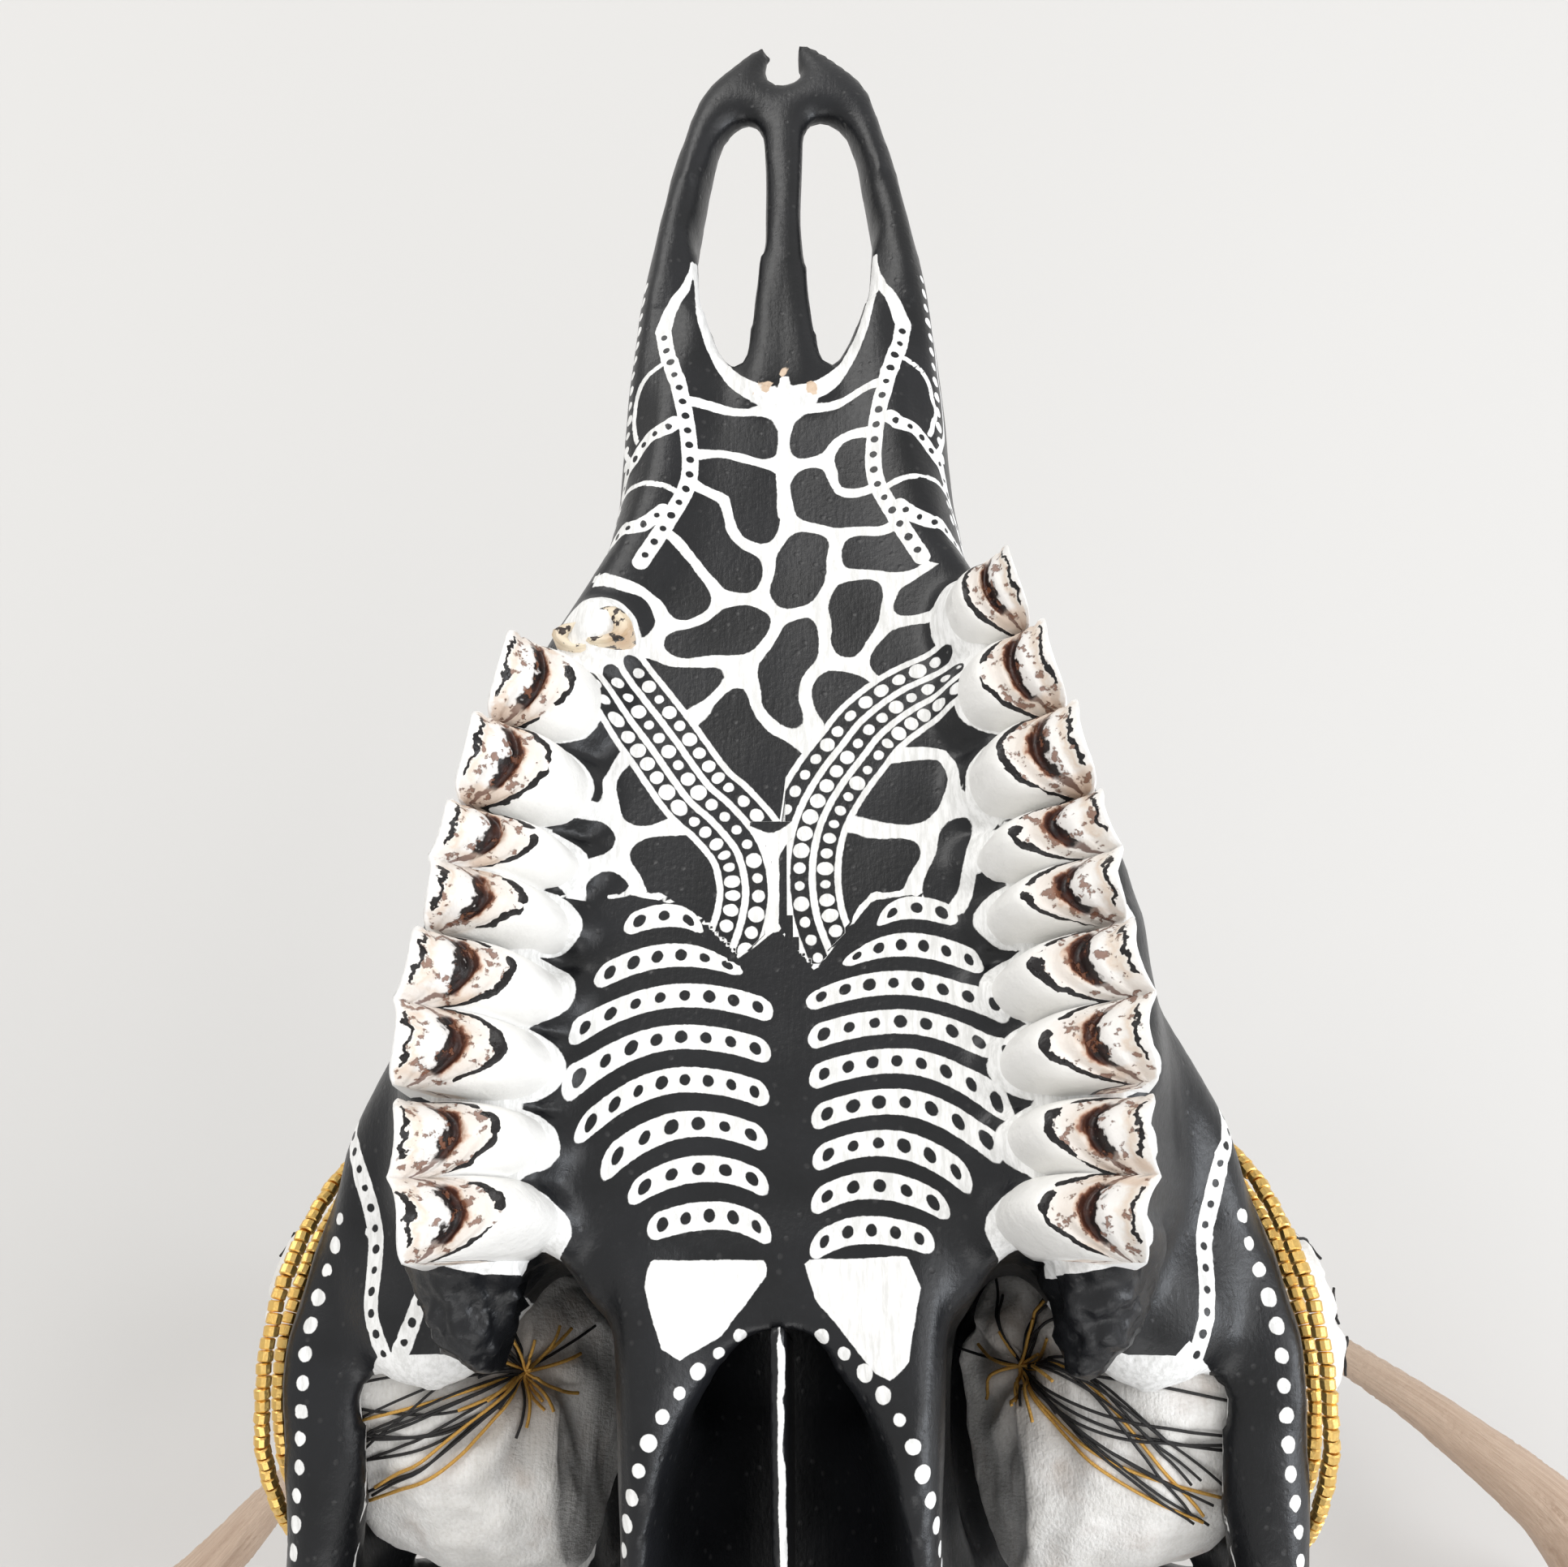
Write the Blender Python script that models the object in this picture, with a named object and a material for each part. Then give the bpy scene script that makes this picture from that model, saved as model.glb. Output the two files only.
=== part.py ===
"""A painted deer skull with its antlers, lying palate up on its antler tips.

Every size below is in millimetres in the skull's own frame: x to the animal's
left, y toward the snout from the back of the last molar, z toward the palate
side from the plane of the hard palate. The last step moves it onto the floor.
"""
import math
import random

import bmesh
import bpy
from mathutils import Matrix, Vector

MM = 0.001
GAP = 0.3                       # space kept between neighbouring pieces

# Driving sizes of the skull
ROOF_Z = -84.0                  # highest point of the frontals, palate up
TOOTH_ROW = 76.0                # second premolar to last molar
ARCH_X = 50.5                   # middle of the cheek bar from the midline
ORBIT = Vector((49.3, -3.3, -44.4))
ORBIT_RADIUS = 21.0
ORBIT_TURN = math.radians(8.5)    # how far each eye looks forward
ORBIT_LIFT = math.radians(15)   # and toward the forehead
FLOOR_Z = -206.0                # level of the tips that it rests on
ROW_SHIFT = Vector((5.5, -27.7, 0.0))  # puts the box's middle over the origin

# How fine the fused bone is made
VOXEL = 1.5
SOFTENING = 4                   # smoothing passes after the pieces are fused
BONE_TRIANGLES = 9400

BLACK = (0.012, 0.011, 0.010)
TAN = (0.52, 0.40, 0.29)
GOLD = (0.80, 0.55, 0.20)
CLOTH = (0.72, 0.68, 0.60)


# Small helpers

def clear_scene():
    for item in list(bpy.data.objects):
        bpy.data.objects.remove(item, do_unlink=True)


def material(name, colour, roughness, metallic):
    made = bpy.data.materials.get(name)
    if made is None:
        made = bpy.data.materials.new(name)
        made.use_nodes = True
        shader = made.node_tree.nodes["Principled BSDF"]
        shader.inputs["Base Color"].default_value = (*colour, 1.0)
        shader.inputs["Roughness"].default_value = roughness
        shader.inputs["Metallic"].default_value = metallic
    return made


def add_mesh(name, points, faces):
    """An object from points in millimetres, with its faces turned outward."""
    mesh = bpy.data.meshes.new(name)
    mesh.from_pydata([Vector(p) * MM for p in points], [], faces)
    tidy = bmesh.new()
    tidy.from_mesh(mesh)
    bmesh.ops.recalc_face_normals(tidy, faces=tidy.faces)
    tidy.to_mesh(mesh)
    tidy.free()
    made = bpy.data.objects.new(name, mesh)
    bpy.context.scene.collection.objects.link(made)
    return made


def smooth_line(points, steps):
    """Catmull-Rom line through the points, with steps samples a span."""
    points = [Vector(p) for p in points]
    ends = [2 * points[0] - points[1], *points, 2 * points[-1] - points[-2]]
    line = []
    for i in range(1, len(ends) - 2):
        a, b, c, d = ends[i - 1:i + 3]
        for k in range(steps):
            t = k / steps
            line.append(0.5 * (2 * b + (c - a) * t + (2 * a - 5 * b + 4 * c - d) * t * t
                               + (3 * b - a - 3 * c + d) * t * t * t))
    line.append(points[-1])
    return line


def loft(name, rings):
    """A closed solid through rings that all have the same number of points."""
    count = len(rings[0])
    points = [p for ring in rings for p in ring]
    faces = [tuple(range(count)), tuple(range(len(points) - count, len(points)))]
    for r in range(len(rings) - 1):
        for i in range(count):
            j = (i + 1) % count
            a = r * count
            faces.append((a + i, a + j, a + count + j, a + count + i))
    return add_mesh(name, points, faces)


def tube(name, stations, up=(0, 0, 1), steps=3, sides=12):
    """A bar through stations (x, y, z, half width, half height)."""
    up = Vector(up)
    centre = smooth_line([s[:3] for s in stations], steps)
    size = smooth_line([(s[3], s[4], 0) for s in stations], steps)
    rings = []
    for i, here in enumerate(centre):
        ahead = centre[min(i + 1, len(centre) - 1)] - centre[max(i - 1, 0)]
        side = ahead.cross(up).normalized()
        rise = side.cross(ahead).normalized()
        ring = []
        for k in range(sides):
            turn = 2 * math.pi * k / sides
            ring.append(here + side * size[i].x * math.cos(turn)
                        + rise * size[i].y * math.sin(turn))
        rings.append(ring)
    return loft(name, rings)


def ball(name, centre, radii, segments=20, rings=12):
    work = bmesh.new()
    bmesh.ops.create_uvsphere(work, u_segments=segments, v_segments=rings, radius=1.0)
    points = [Vector(centre) + Vector([v.co[i] * radii[i] for i in range(3)]) for v in work.verts]
    faces = [[v.index for v in f.verts] for f in work.faces]
    work.free()
    return add_mesh(name, points, faces)


def prism(name, outline, low, high, axis):
    """A closed outline drawn out along x, y or z between two levels."""
    rings = []
    for level in (low, high):
        ring = []
        for u, v in outline:
            ring.append({"x": (level, u, v), "y": (u, level, v), "z": (u, v, level)}[axis])
        rings.append(ring)
    return loft(name, rings)


def mirrored(made):
    """A second object on the other side of the midline."""
    other = bpy.data.objects.new(made.name + "_mirror", made.data.copy())
    bpy.context.scene.collection.objects.link(other)
    other.data.transform(Matrix.Scale(-1, 4, (1, 0, 0)))
    other.data.flip_normals()
    return other


def both(made):
    return [made, mirrored(made)]


def bake(made):
    """Keep what the object's modifiers give, as plain mesh."""
    graph = bpy.context.evaluated_depsgraph_get()
    mesh = bpy.data.meshes.new_from_object(made.evaluated_get(graph))
    made.modifiers.clear()
    made.data = mesh
    return made


def remove(objects):
    for item in objects:
        bpy.data.objects.remove(item, do_unlink=True)


def combine(base, others, operation):
    """One Boolean of the base with a collection, applied, and the rest removed."""
    group = bpy.data.collections.new("group")
    for item in others:
        group.objects.link(item)
    cut = base.modifiers.new("combine", "BOOLEAN")
    cut.operation = operation
    cut.operand_type = "COLLECTION"
    cut.collection = group
    cut.solver = "EXACT"
    bake(base)
    remove(others)
    bpy.data.collections.remove(group)
    return base


def copy_of(made, name):
    other = bpy.data.objects.new(name, made.data.copy())
    bpy.context.scene.collection.objects.link(other)
    return other


def grown(made, name, amount):
    """A copy pushed outward, for the room that a neighbour leaves it."""
    other = copy_of(made, name)
    work = bmesh.new()
    work.from_mesh(other.data)
    work.normal_update()
    moves = [(v, v.normal * amount * MM) for v in work.verts]
    for vert, move in moves:
        vert.co += move
    work.to_mesh(other.data)
    work.free()
    return other


def keep_largest(made):
    """Drop loose scraps, so that the object is one closed surface."""
    work = bmesh.new()
    work.from_mesh(made.data)
    bmesh.ops.dissolve_degenerate(work, dist=1e-5, edges=work.edges)
    bmesh.ops.triangulate(work, faces=work.faces)
    left = set(work.verts)
    shells = []
    while left:
        seed = left.pop()
        shell, queue = {seed}, [seed]
        while queue:
            for edge in queue.pop().link_edges:
                for vert in edge.verts:
                    if vert in left:
                        left.discard(vert)
                        shell.add(vert)
                        queue.append(vert)
        shells.append(shell)
    shells.sort(key=len)
    for shell in shells[:-1]:
        bmesh.ops.delete(work, geom=list(shell), context="VERTS")
    bare = [edge for edge in work.edges if not edge.link_faces]
    bmesh.ops.delete(work, geom=bare, context="EDGES")
    work.to_mesh(made.data)
    work.free()
    return made


# The fused bone

def face_ring(y, palate, edge, wide, wide_z, roof, roof_z):
    """Outline of the face across the skull, from palate to nasal roof."""
    half = [(0, palate - 1.8), (0.55 * edge, palate - 1.2), (edge - 4, palate + 0.4),
            (edge, palate - 3), (wide, wide_z),
            (0.5 * (wide + roof) + 2.5, 0.5 * (wide_z + roof_z)),
            (roof + 1, roof_z + 6), (0.6 * roof, roof_z + 1), (0, roof_z)]
    back = [(-x, z) for x, z in reversed(half[1:-1])]
    closed = half + back
    line = smooth_line([(x, z, 0) for x, z in closed + [closed[0]]], 2)[:-1]
    return [(p.x, y, p.y) for p in line]


def slab_ring(y, wide, low, high, power=0.6, sides=24):
    """A rounded slab across the skull."""
    ring = []
    for k in range(sides):
        turn = 2 * math.pi * k / sides
        c, s = math.cos(turn), math.sin(turn)
        ring.append((wide * math.copysign(abs(c) ** power, c), y,
                     0.5 * (low + high) + 0.5 * (high - low) * math.copysign(abs(s) ** power, s)))
    return ring


def face_pieces():
    # y, palate z, edge, widest, its z, roof half width, roof z
    stations = [(120, 0, 15.5, 18.6, -14, 10, -35), (108, 0, 17.8, 20.8, -16, 11, -40),
                (98, 0, 18.5, 22, -17, 12, -44),
                (85, 0, 21, 24, -19, 14, -49), (72, 0.5, 27.5, 28.5, -16, 15, -54),
                (55, 1.5, 34, 34.5, -14, 17, -59), (36, 2, 39, 40, -17, 20, -64),
                (20, 2, 40, 44, -24, 25, -68), (7, 1, 37, 48, -30, 32, -72),
                (-3, -4, 31, 48, -34, 36, -74)]
    return [loft("face", [face_ring(*s) for s in stations])]


def face_cutters():
    """The open nose, the two slots in front of the palate and small hollows."""
    nose = [slab_ring(y, wide, low, high, 0.75) for y, wide, low, high in
            ((96, 11, -30, -7), (106, 15.5, -34, -4.2), (114, 16.4, -32.5, -3.6),
             (128, 16.4, -30.5, -3.4))]
    notch = [(100, -37), (99.5, -33.5), (103, -29.5), (124, -13), (130, -13), (130, -33),
             (118, -33.5), (106, -37.5)]
    cutters = [loft("nose", nose), prism("notch", notch, -40, 40, "x")]
    slot = [(3.6, 108.0), (6.2, 110.4), (8.7, 114.8), (10.2, 119.5), (11.0, 124), (11.4, 130),
            (10.7, 141), (9.4, 149), (6.6, 152.8), (3.8, 151), (2.9, 146), (2.8, 138),
            (3.2, 128), (4.2, 117), (4.4, 112)]
    line = smooth_line([(x, y, 0) for x, y in slot + [slot[0]]], 3)[:-1]
    cutters += both(prism("slot", [(p.x, p.y) for p in line], -9, 9, "z"))
    cutters += both(ball("tear_hollow", (46, 34, -44), (14, 10, 10)))
    cutters += both(ball("gap_before_eye", (30, 27, -62), (5, 9, 5)))
    return cutters


def premaxilla_pieces():
    arm = [(1.7, 165.5, 0.2, 1.5, 1.6), (3.7, 164.0, 0.1, 1.9, 2.0), (4.9, 161.2, -0.2, 2.5, 2.5),
           (8.7, 157.0, -0.6, 2.9, 3), (12.0, 148, -2.2, 2.5, 4), (14.4, 136, -5, 2.6, 6.5),
           (16.6, 124, -9, 2.6, 10.5), (18.2, 112, -15, 2.5, 15), (19.2, 102, -20, 2.2, 18)]
    bar = [(1.8, 156, 0, 1.6, 2.4), (1.4, 140, -0.6, 1.4, 2.2), (1.7, 128, -0.8, 1.6, 2.2),
           (2.2, 118, -1, 2.1, 2.2), (2.6, 106, -1.5, 2.4, 2.4)]
    pad = [(0.8, 155.4, -0.3, 2.7, 2.4), (4.4, 156.2, -0.3, 3.5, 2.6), (8.0, 155.6, -0.7, 3.4, 2.8),
           (10.8, 151.6, -1.3, 2.5, 3)]
    ledge = [(12.6, 134, -3, 1.0, 1.2), (12.8, 127, -2.4, 1.8, 1.5), (12.4, 121, -2.2, 2.2, 1.8),
             (11.6, 116.5, -2, 2.6, 1.8), (10.2, 112.5, -1.8, 3.0, 1.8)]
    pieces = []
    for name, stations in (("arm", arm), ("bar", bar), ("snout_pad", pad), ("ledge", ledge)):
        pieces += both(tube(name, stations))
    return pieces


def orbit_axis():
    return Vector((math.cos(ORBIT_TURN) * math.cos(ORBIT_LIFT), math.sin(ORBIT_TURN),
                   -math.cos(ORBIT_TURN) * math.sin(ORBIT_LIFT))).normalized()


def orbit_frame():
    """Centre, outward axis, and two directions in the plane of the rim."""
    out = orbit_axis()
    ahead = (Vector((0, 1, 0)) - out * out.y).normalized()
    return ORBIT, out, ahead, out.cross(ahead).normalized()


def rim_ring(name, radius, out_shift, thick, deep, around=40, sides=8):
    """A hoop round the orbit, thick across and deep along its axis."""
    centre, out, ahead, down = orbit_frame()
    points = []
    faces = []
    for i in range(around):
        turn = 2 * math.pi * i / around
        spoke = ahead * math.cos(turn) + down * math.sin(turn)
        for k in range(sides):
            roll = 2 * math.pi * k / sides
            points.append(centre + spoke * (radius + thick * math.cos(roll))
                          + out * (out_shift + deep * math.sin(roll)))
            j, m = (i + 1) % around, (k + 1) % sides
            faces.append((i * sides + k, i * sides + m, j * sides + m, j * sides + k))
    return add_mesh(name, points, faces)


def cheek_bars():
    """The cheek bar, the orbit's rim, the bar behind it and the end of the jaw."""
    arch = [(37, 26, -13, 6, 6), (44.4, 15, -18.5, 5.6, 5.5), (48.6, 3, -22.5, 4.4, 4.8),
            (ARCH_X - 0.3, -7, -24.5, 4.5, 4.6), (ARCH_X, -17, -26.5, 5.3, 4.6),
            (51.4, -27, -29.5, 4, 4.6), (52, -42, -36, 3.4, 4.6), (49.5, -55, -42, 3.6, 4.5),
            (42, -64, -46, 6, 4.5), (28, -66, -50, 8, 5)]
    bar = [(51.5, -30, -32, 4, 4), (51.5, -31.5, -46, 3.2, 3.2), (48.5, -33, -60, 4, 4),
           (41, -34, -71, 6, 6)]
    rim = rim_ring("rim", ORBIT_RADIUS + 1.9, -2.4, 2.7, 2.9)
    pieces = both(tube("arch", arch)) + both(rim)
    pieces += both(tube("behind_eye", bar, up=(0, 1, 0)))
    wedge = [(33.5, 5, -6, 6.5, 8), (32, -3, -9, 4.6, 7), (30.5, -9, -13, 2, 4)]
    pieces += both(tube("back_of_jaw", wedge))
    pieces += both(ball("eye_floor", (39, -1, -20), (9.5, 10, 6)))
    return pieces


def cheek_corners():
    """The solid bone over and in front of each eye, which the socket cuts into."""
    return (both(ball("brow", (37.5, 3, -64), (8.5, 14, 6.5)))
            + both(ball("lacrimal", (39.5, 17, -43), (7, 10, 17))))


def cranium_pieces():
    core = [face_ring(*s) for s in
            ((12, -2, 18, 18, -30, 24, -68), (-6, -2, 16.6, 17, -34, 26, -71),
             (-22, -4, 15.6, 16.5, -36, 27, -76), (-36, -10, 15.2, 18.5, -40, 28, -80),
             (-50, -21, 13, 25, -46, 30, -82))]
    roof = [slab_ring(*s) for s in
            ((24, 22, -69, -59), (10, 34, -72.5, -62), (-4, 42, -75.5, -64),
             (-18, 46, -78.5, -65), (-32, 48, -81.5, -65), (-46, 45, -83.5, -64),
             (-58, 34, ROOF_Z, -60), (-72, 29, ROOF_Z + 1, -56))]
    back = [slab_ring(*s, 0.7) for s in
            ((-80, 36, -79, -26), (-92, 34, -76, -23), (-100, 28, -70, -25))]
    base = [slab_ring(*s, 0.8) for s in
            ((-40, 8, -34, -24), (-62, 10, -34, -22.5), (-82, 13, -34, -21),
             (-99, 12, -34, -24))]
    pieces = [loft("core", core), loft("roof", roof), loft("back", back), loft("base", base)]
    pieces.append(ball("braincase", (0, -69, -56), (36.5, 36, 28)))
    crest = [(-34, -88, -44, 2.6, 2.6), (-28, -97, -62, 3, 3), (0, -101, -73, 3.4, 3.4),
             (28, -97, -62, 3, 3), (34, -88, -44, 2.6, 2.6)]
    pieces.append(tube("crest", crest, up=(0, 1, 0.01)))
    pieces += both(ball("condyle", (13, -99, -33), (7.5, 9, 11)))
    pieces += both(ball("ear_bulb", (21, -73, -23), (7.5, 10.5, 8)))
    pieces += both(ball("behind_ear", (32, -82, -44), (8, 9, 16)))
    pieces += both(tube("ear_tube", [(22, -74, -30, 5, 5), (36, -77, -38, 4, 4)], up=(0, 1, 0)))
    spur = [(29, -88, -32, 6, 4), (28.5, -88, -20, 4.5, 3), (27, -85, -9, 2.4, 2)]
    pieces += both(tube("spur", spur, up=(0, 1, 0)))
    pieces += both(ball("jaw_seat", (42, -63, -46), (13, 8, 5)))
    stalk = [(23, -44, -72, 14.5, 14.5), (28, -51, -80, 13.5, 13.5), (36, -61, -96, 13, 13)]
    pieces += both(tube("pedicle", stalk, up=(0, 1, 0), sides=16))
    plate = [(14.2, -24, -14, 1.7, 9), (13.8, -38, -17, 1.7, 9), (13.2, -47, -22, 1.8, 7)]
    pieces += both(tube("pterygoid", plate))
    hook = [(13.4, -40, -14, 1.8, 3), (12.8, -50, -14, 1.5, 1.5)]
    pieces += both(tube("hook", hook))
    return pieces


def cranium_cutters():
    """The inner nostrils, the eye sockets and the opening for the spine."""
    throat = [slab_ring(y, wide, low, 12, 0.8) for y, wide, low in
              ((-6.8, 2.4, -16), (-8.6, 4.6, -20), (-12, 8.0, -23), (-16.5, 10.4, -25),
               (-22, 12.0, -26), (-28, 12.6, -26), (-42, 12.0, -25), (-56, 10, -22))]
    duct = [slab_ring(y, wide, low, high, 0.9) for y, wide, low, high in
            ((14, 6, -19, -8), (-4, 9, -22, -5.5), (-14, 10, -25, -5))]
    cutters = [loft("throat", throat), loft("duct", duct)]
    cutters.append(ball("spine_hole", (0, -106, -40), (11, 19, 9.5)))
    centre, out, ahead, down = orbit_frame()
    inner = centre - out * 6
    cutters += both(ball("socket", inner, (24.5, ORBIT_RADIUS + 0.4, ORBIT_RADIUS), 28, 18))
    cutters += both(ball("socket_floor", (33, -27, -42), (13.5, 19, 24)))
    window = [(24.6 + 6.6 * math.cos(a), -14 + 17.0 * math.sin(a)) for a in
              (2 * math.pi * k / 20 for k in range(20))]
    cutters += both(prism("window", window, -60, 12, "z"))
    cutters += both(ball("temple", (46, -50, -52), (15, 17, 22)))
    return cutters


def fused_bone():
    """All bone as one closed surface, before it is parted."""
    face = combine(face_pieces()[0], face_cutters(), "DIFFERENCE")
    bone, *rest = cranium_pieces()
    combine(bone, rest + [face], "UNION")
    combine(bone, cheek_corners(), "UNION")
    combine(bone, cranium_cutters(), "DIFFERENCE")
    combine(bone, cheek_bars() + premaxilla_pieces(), "UNION")
    bone.name = "bone"
    fine = bone.modifiers.new("fuse", "REMESH")
    fine.mode = "VOXEL"
    fine.voxel_size = VOXEL * MM
    soft = bone.modifiers.new("soften", "SMOOTH")
    soft.factor = 0.5
    soft.iterations = SOFTENING
    bake(bone)
    keep_largest(bone)
    fewer = bone.modifiers.new("fewer", "DECIMATE")
    fewer.ratio = BONE_TRIANGLES / (2 * len(bone.data.polygons))
    bake(bone)
    return keep_largest(bone)


# Teeth

# name, length along the row, width, crown height, lobes
TEETH = (("p2", 10.0, 9.0, 11.5, 1), ("p3", 11.0, 12.0, 12.5, 1), ("p4", 10.0, 13.5, 14.0, 1),
         ("m1", 14.0, 15.0, 14.5, 2), ("m2", 16.0, 16.0, 15.0, 2), ("m3", 15.5, 15.0, 14.0, 2))
STUB_X = 21.2                   # the broken right second premolar


def row_x(y):
    """Middle of the tooth row from the midline, bowed out at the second molar."""
    t = (TOOTH_ROW - y) / TOOTH_ROW
    return 22.0 + 8.6 * math.sin(1.62 * t ** 0.85) - 2.2 * max(0.0, t - 0.8) / 0.2 * t


def crown_outline(lobes):
    """Points (along, across, rise) round a crown: pillars outside, lobes inside."""
    steps = 8
    points = []
    for k in range(steps + 1):
        u = 2 * k / steps - 1
        peak = abs(math.sin(math.pi * u)) if lobes == 2 else math.cos(0.5 * math.pi * u)
        points.append((u * 0.97, 0.5 * (0.88 - 0.16 * peak + 0.07 * (k in (0, steps))), 1.6 * peak))
    for k in range(steps + 1):
        u = 1 - 2 * k / steps
        peak = abs(math.sin(math.pi * u)) if lobes == 2 else math.cos(0.5 * math.pi * u)
        points.append((u * 0.80, -0.5 * (0.60 + 0.40 * peak ** 0.7), 0.9 * peak - 2.6))
    return points


def tooth(name, y, length, width, crown, lobes, side, stub):
    """One cheek tooth with its root below the gum and a worn hollow on its crown."""
    x = STUB_X if stub else row_x(y)
    turn = math.atan2(row_x(y + 1) - row_x(y - 1), 2)
    # height, size, share of the crown's rise
    levels = [(-7.0, 0.72, 0.0), (2.5, 0.94, 0.0), (crown, 1.0, 1.0), (crown - 3.2, 0.4, 0.5)]
    if stub:
        levels = [(-7.0, 0.45, 0.0), (2.0, 0.6, 0.0), (4.6, 0.52, 0.0), (3.6, 0.25, 0.0)]
    rings = []
    for height, size, share in levels:
        ring = []
        for along, across, rise in crown_outline(lobes):
            forward = 0.5 * length * along * size
            out = width * across * size + 0.6 * share
            ring.append((side * (x + out * math.cos(turn) + forward * math.sin(turn)),
                         y + forward * math.cos(turn) - out * math.sin(turn),
                         height + rise * share))
        rings.append(ring)
    return loft(name, rings)


def tooth_row(side):
    """Six teeth from front to back, each a little worn in its own way."""
    wear = random.Random(7)
    teeth = []
    front = TOOTH_ROW
    for name, length, width, crown, lobes in TEETH:
        stub = side < 0 and name == "p2"
        height = crown + wear.uniform(-0.5, 0.5)
        teeth.append(tooth(name, front - 0.5 * length, length + 0.5, width, height, lobes,
                           side, stub))
        front -= length
    return teeth


# Parts of the bone

def face_line(grow):
    """Front part ahead of the slanted joint between premaxilla and maxilla."""
    outline = [(108.5 - grow, 20), (96.5 - grow, -60), (200, -60), (200, 20)]
    return prism("front", outline, -60, 60, "x")


def nasal_region(grow):
    rings = []
    for y, wide, level in ((132 + grow, 9, -29.5), (118, 10.5, -32.5), (98, 12.5, -39.3),
                           (70, 15, -50.2), (40, 14.5, -58.6), (20, 9, -63.6),
                           (13 - grow, 4.5, -66)):
        half = wide + grow
        top = level + grow
        rings.append([(-half, y, top), (half, y, top), (half, y, -90), (-half, y, -90)])
    return loft("nasal_region", rings)


def palatine_region(grow):
    side = 19.0 + grow
    rings = []
    for y, low in ((33 + grow, -12), (-10, -13), (-30, -19), (-53 - grow, -27)):
        bottom = low - grow
        rings.append([(-side, y, 30), (side, y, 30), (side, y, bottom), (-side, y, bottom)])
    return loft("palatine_region", rings)


def arch_region(side, grow):
    x0, x1 = sorted((side * (42.3 - grow), side * 90))
    outline = [(6.4 + grow, 20), (6.4 + grow, -44 - grow), (-56 - grow, -54 - grow),
               (-56 - grow, 20)]
    return prism("arch_region", outline, x0, x1, "x")


def cranium_region(grow):
    outline = [(24.5 + grow, -120), (24.5 + grow, -35), (8 + grow, -18.5 + grow),
               (-11 + grow, -13.5 + grow), (-11 + grow, 30), (-200, 30), (-200, -120)]
    return prism("cranium_region", outline, -90, 90, "x")


def half_space(side, grow):
    x0, x1 = sorted((side * grow, side * 90))
    return prism("half", [(-200, -150), (250, -150), (250, 60), (-200, 60)], x0, x1, "x")


def take(bone, region, name):
    """The part of the bone inside a region, as a new node."""
    part = combine(copy_of(bone, name), [region], "INTERSECT")
    return keep_largest(part)


def antler_plane():
    """Middle and outward direction of the joint between pedicle and antler."""
    foot = Vector((28, -51, -80))
    head = Vector((36, -61, -96))
    axis = (head - foot).normalized()
    return foot + axis * 9, axis


def beyond_plane(point, axis, side, start):
    """A block that covers all that lies past a plane."""
    point = Vector((side * point.x, point.y, point.z))
    axis = Vector((side * axis.x, axis.y, axis.z))
    across = axis.cross(Vector((0, 1, 0))).normalized()
    rise = axis.cross(across)
    rings = []
    for reach in (start, 60):
        centre = point + axis * reach
        rings.append([centre + across * a + rise * b for a, b in
                      ((-40, -40), (40, -40), (40, 40), (-40, 40))])
    return loft("beyond", rings)


def part_bone(bone, inserts):
    """Cut the bone into its named pieces, with a thin gap at every joint."""
    middle, axis = antler_plane()
    cutters = [beyond_plane(middle, axis, side, 0) for side in (1, -1)]
    cutters += [grown(item, "room", GAP) for item in inserts]
    combine(bone, cutters, "DIFFERENCE")
    nodes = {}
    steps = [("nasal_bones", nasal_region),
             ("zygomatic_arch_left", lambda g: arch_region(1, g)),
             ("zygomatic_arch_right", lambda g: arch_region(-1, g)),
             ("palatine_pterygoid", palatine_region),
             ("premaxilla", face_line), ("cranium", cranium_region)]
    for name, region in steps:
        nodes[name] = take(bone, region(0), name)
        combine(bone, [region(GAP)], "DIFFERENCE")
    for name, whole in (("premaxilla", nodes.pop("premaxilla")), ("maxilla", bone)):
        for label, side in (("left", 1), ("right", -1)):
            node = f"{name}_{label}"
            nodes[node] = take(whole, half_space(side, 0.5 * GAP), node)
        remove([whole])
    for label, side in (("left", 1), ("right", -1)):
        jaw = nodes["maxilla_" + label]
        keep_largest(combine(jaw, tooth_row(side), "UNION"))
    return nodes


# What sits in and on the skull

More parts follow.
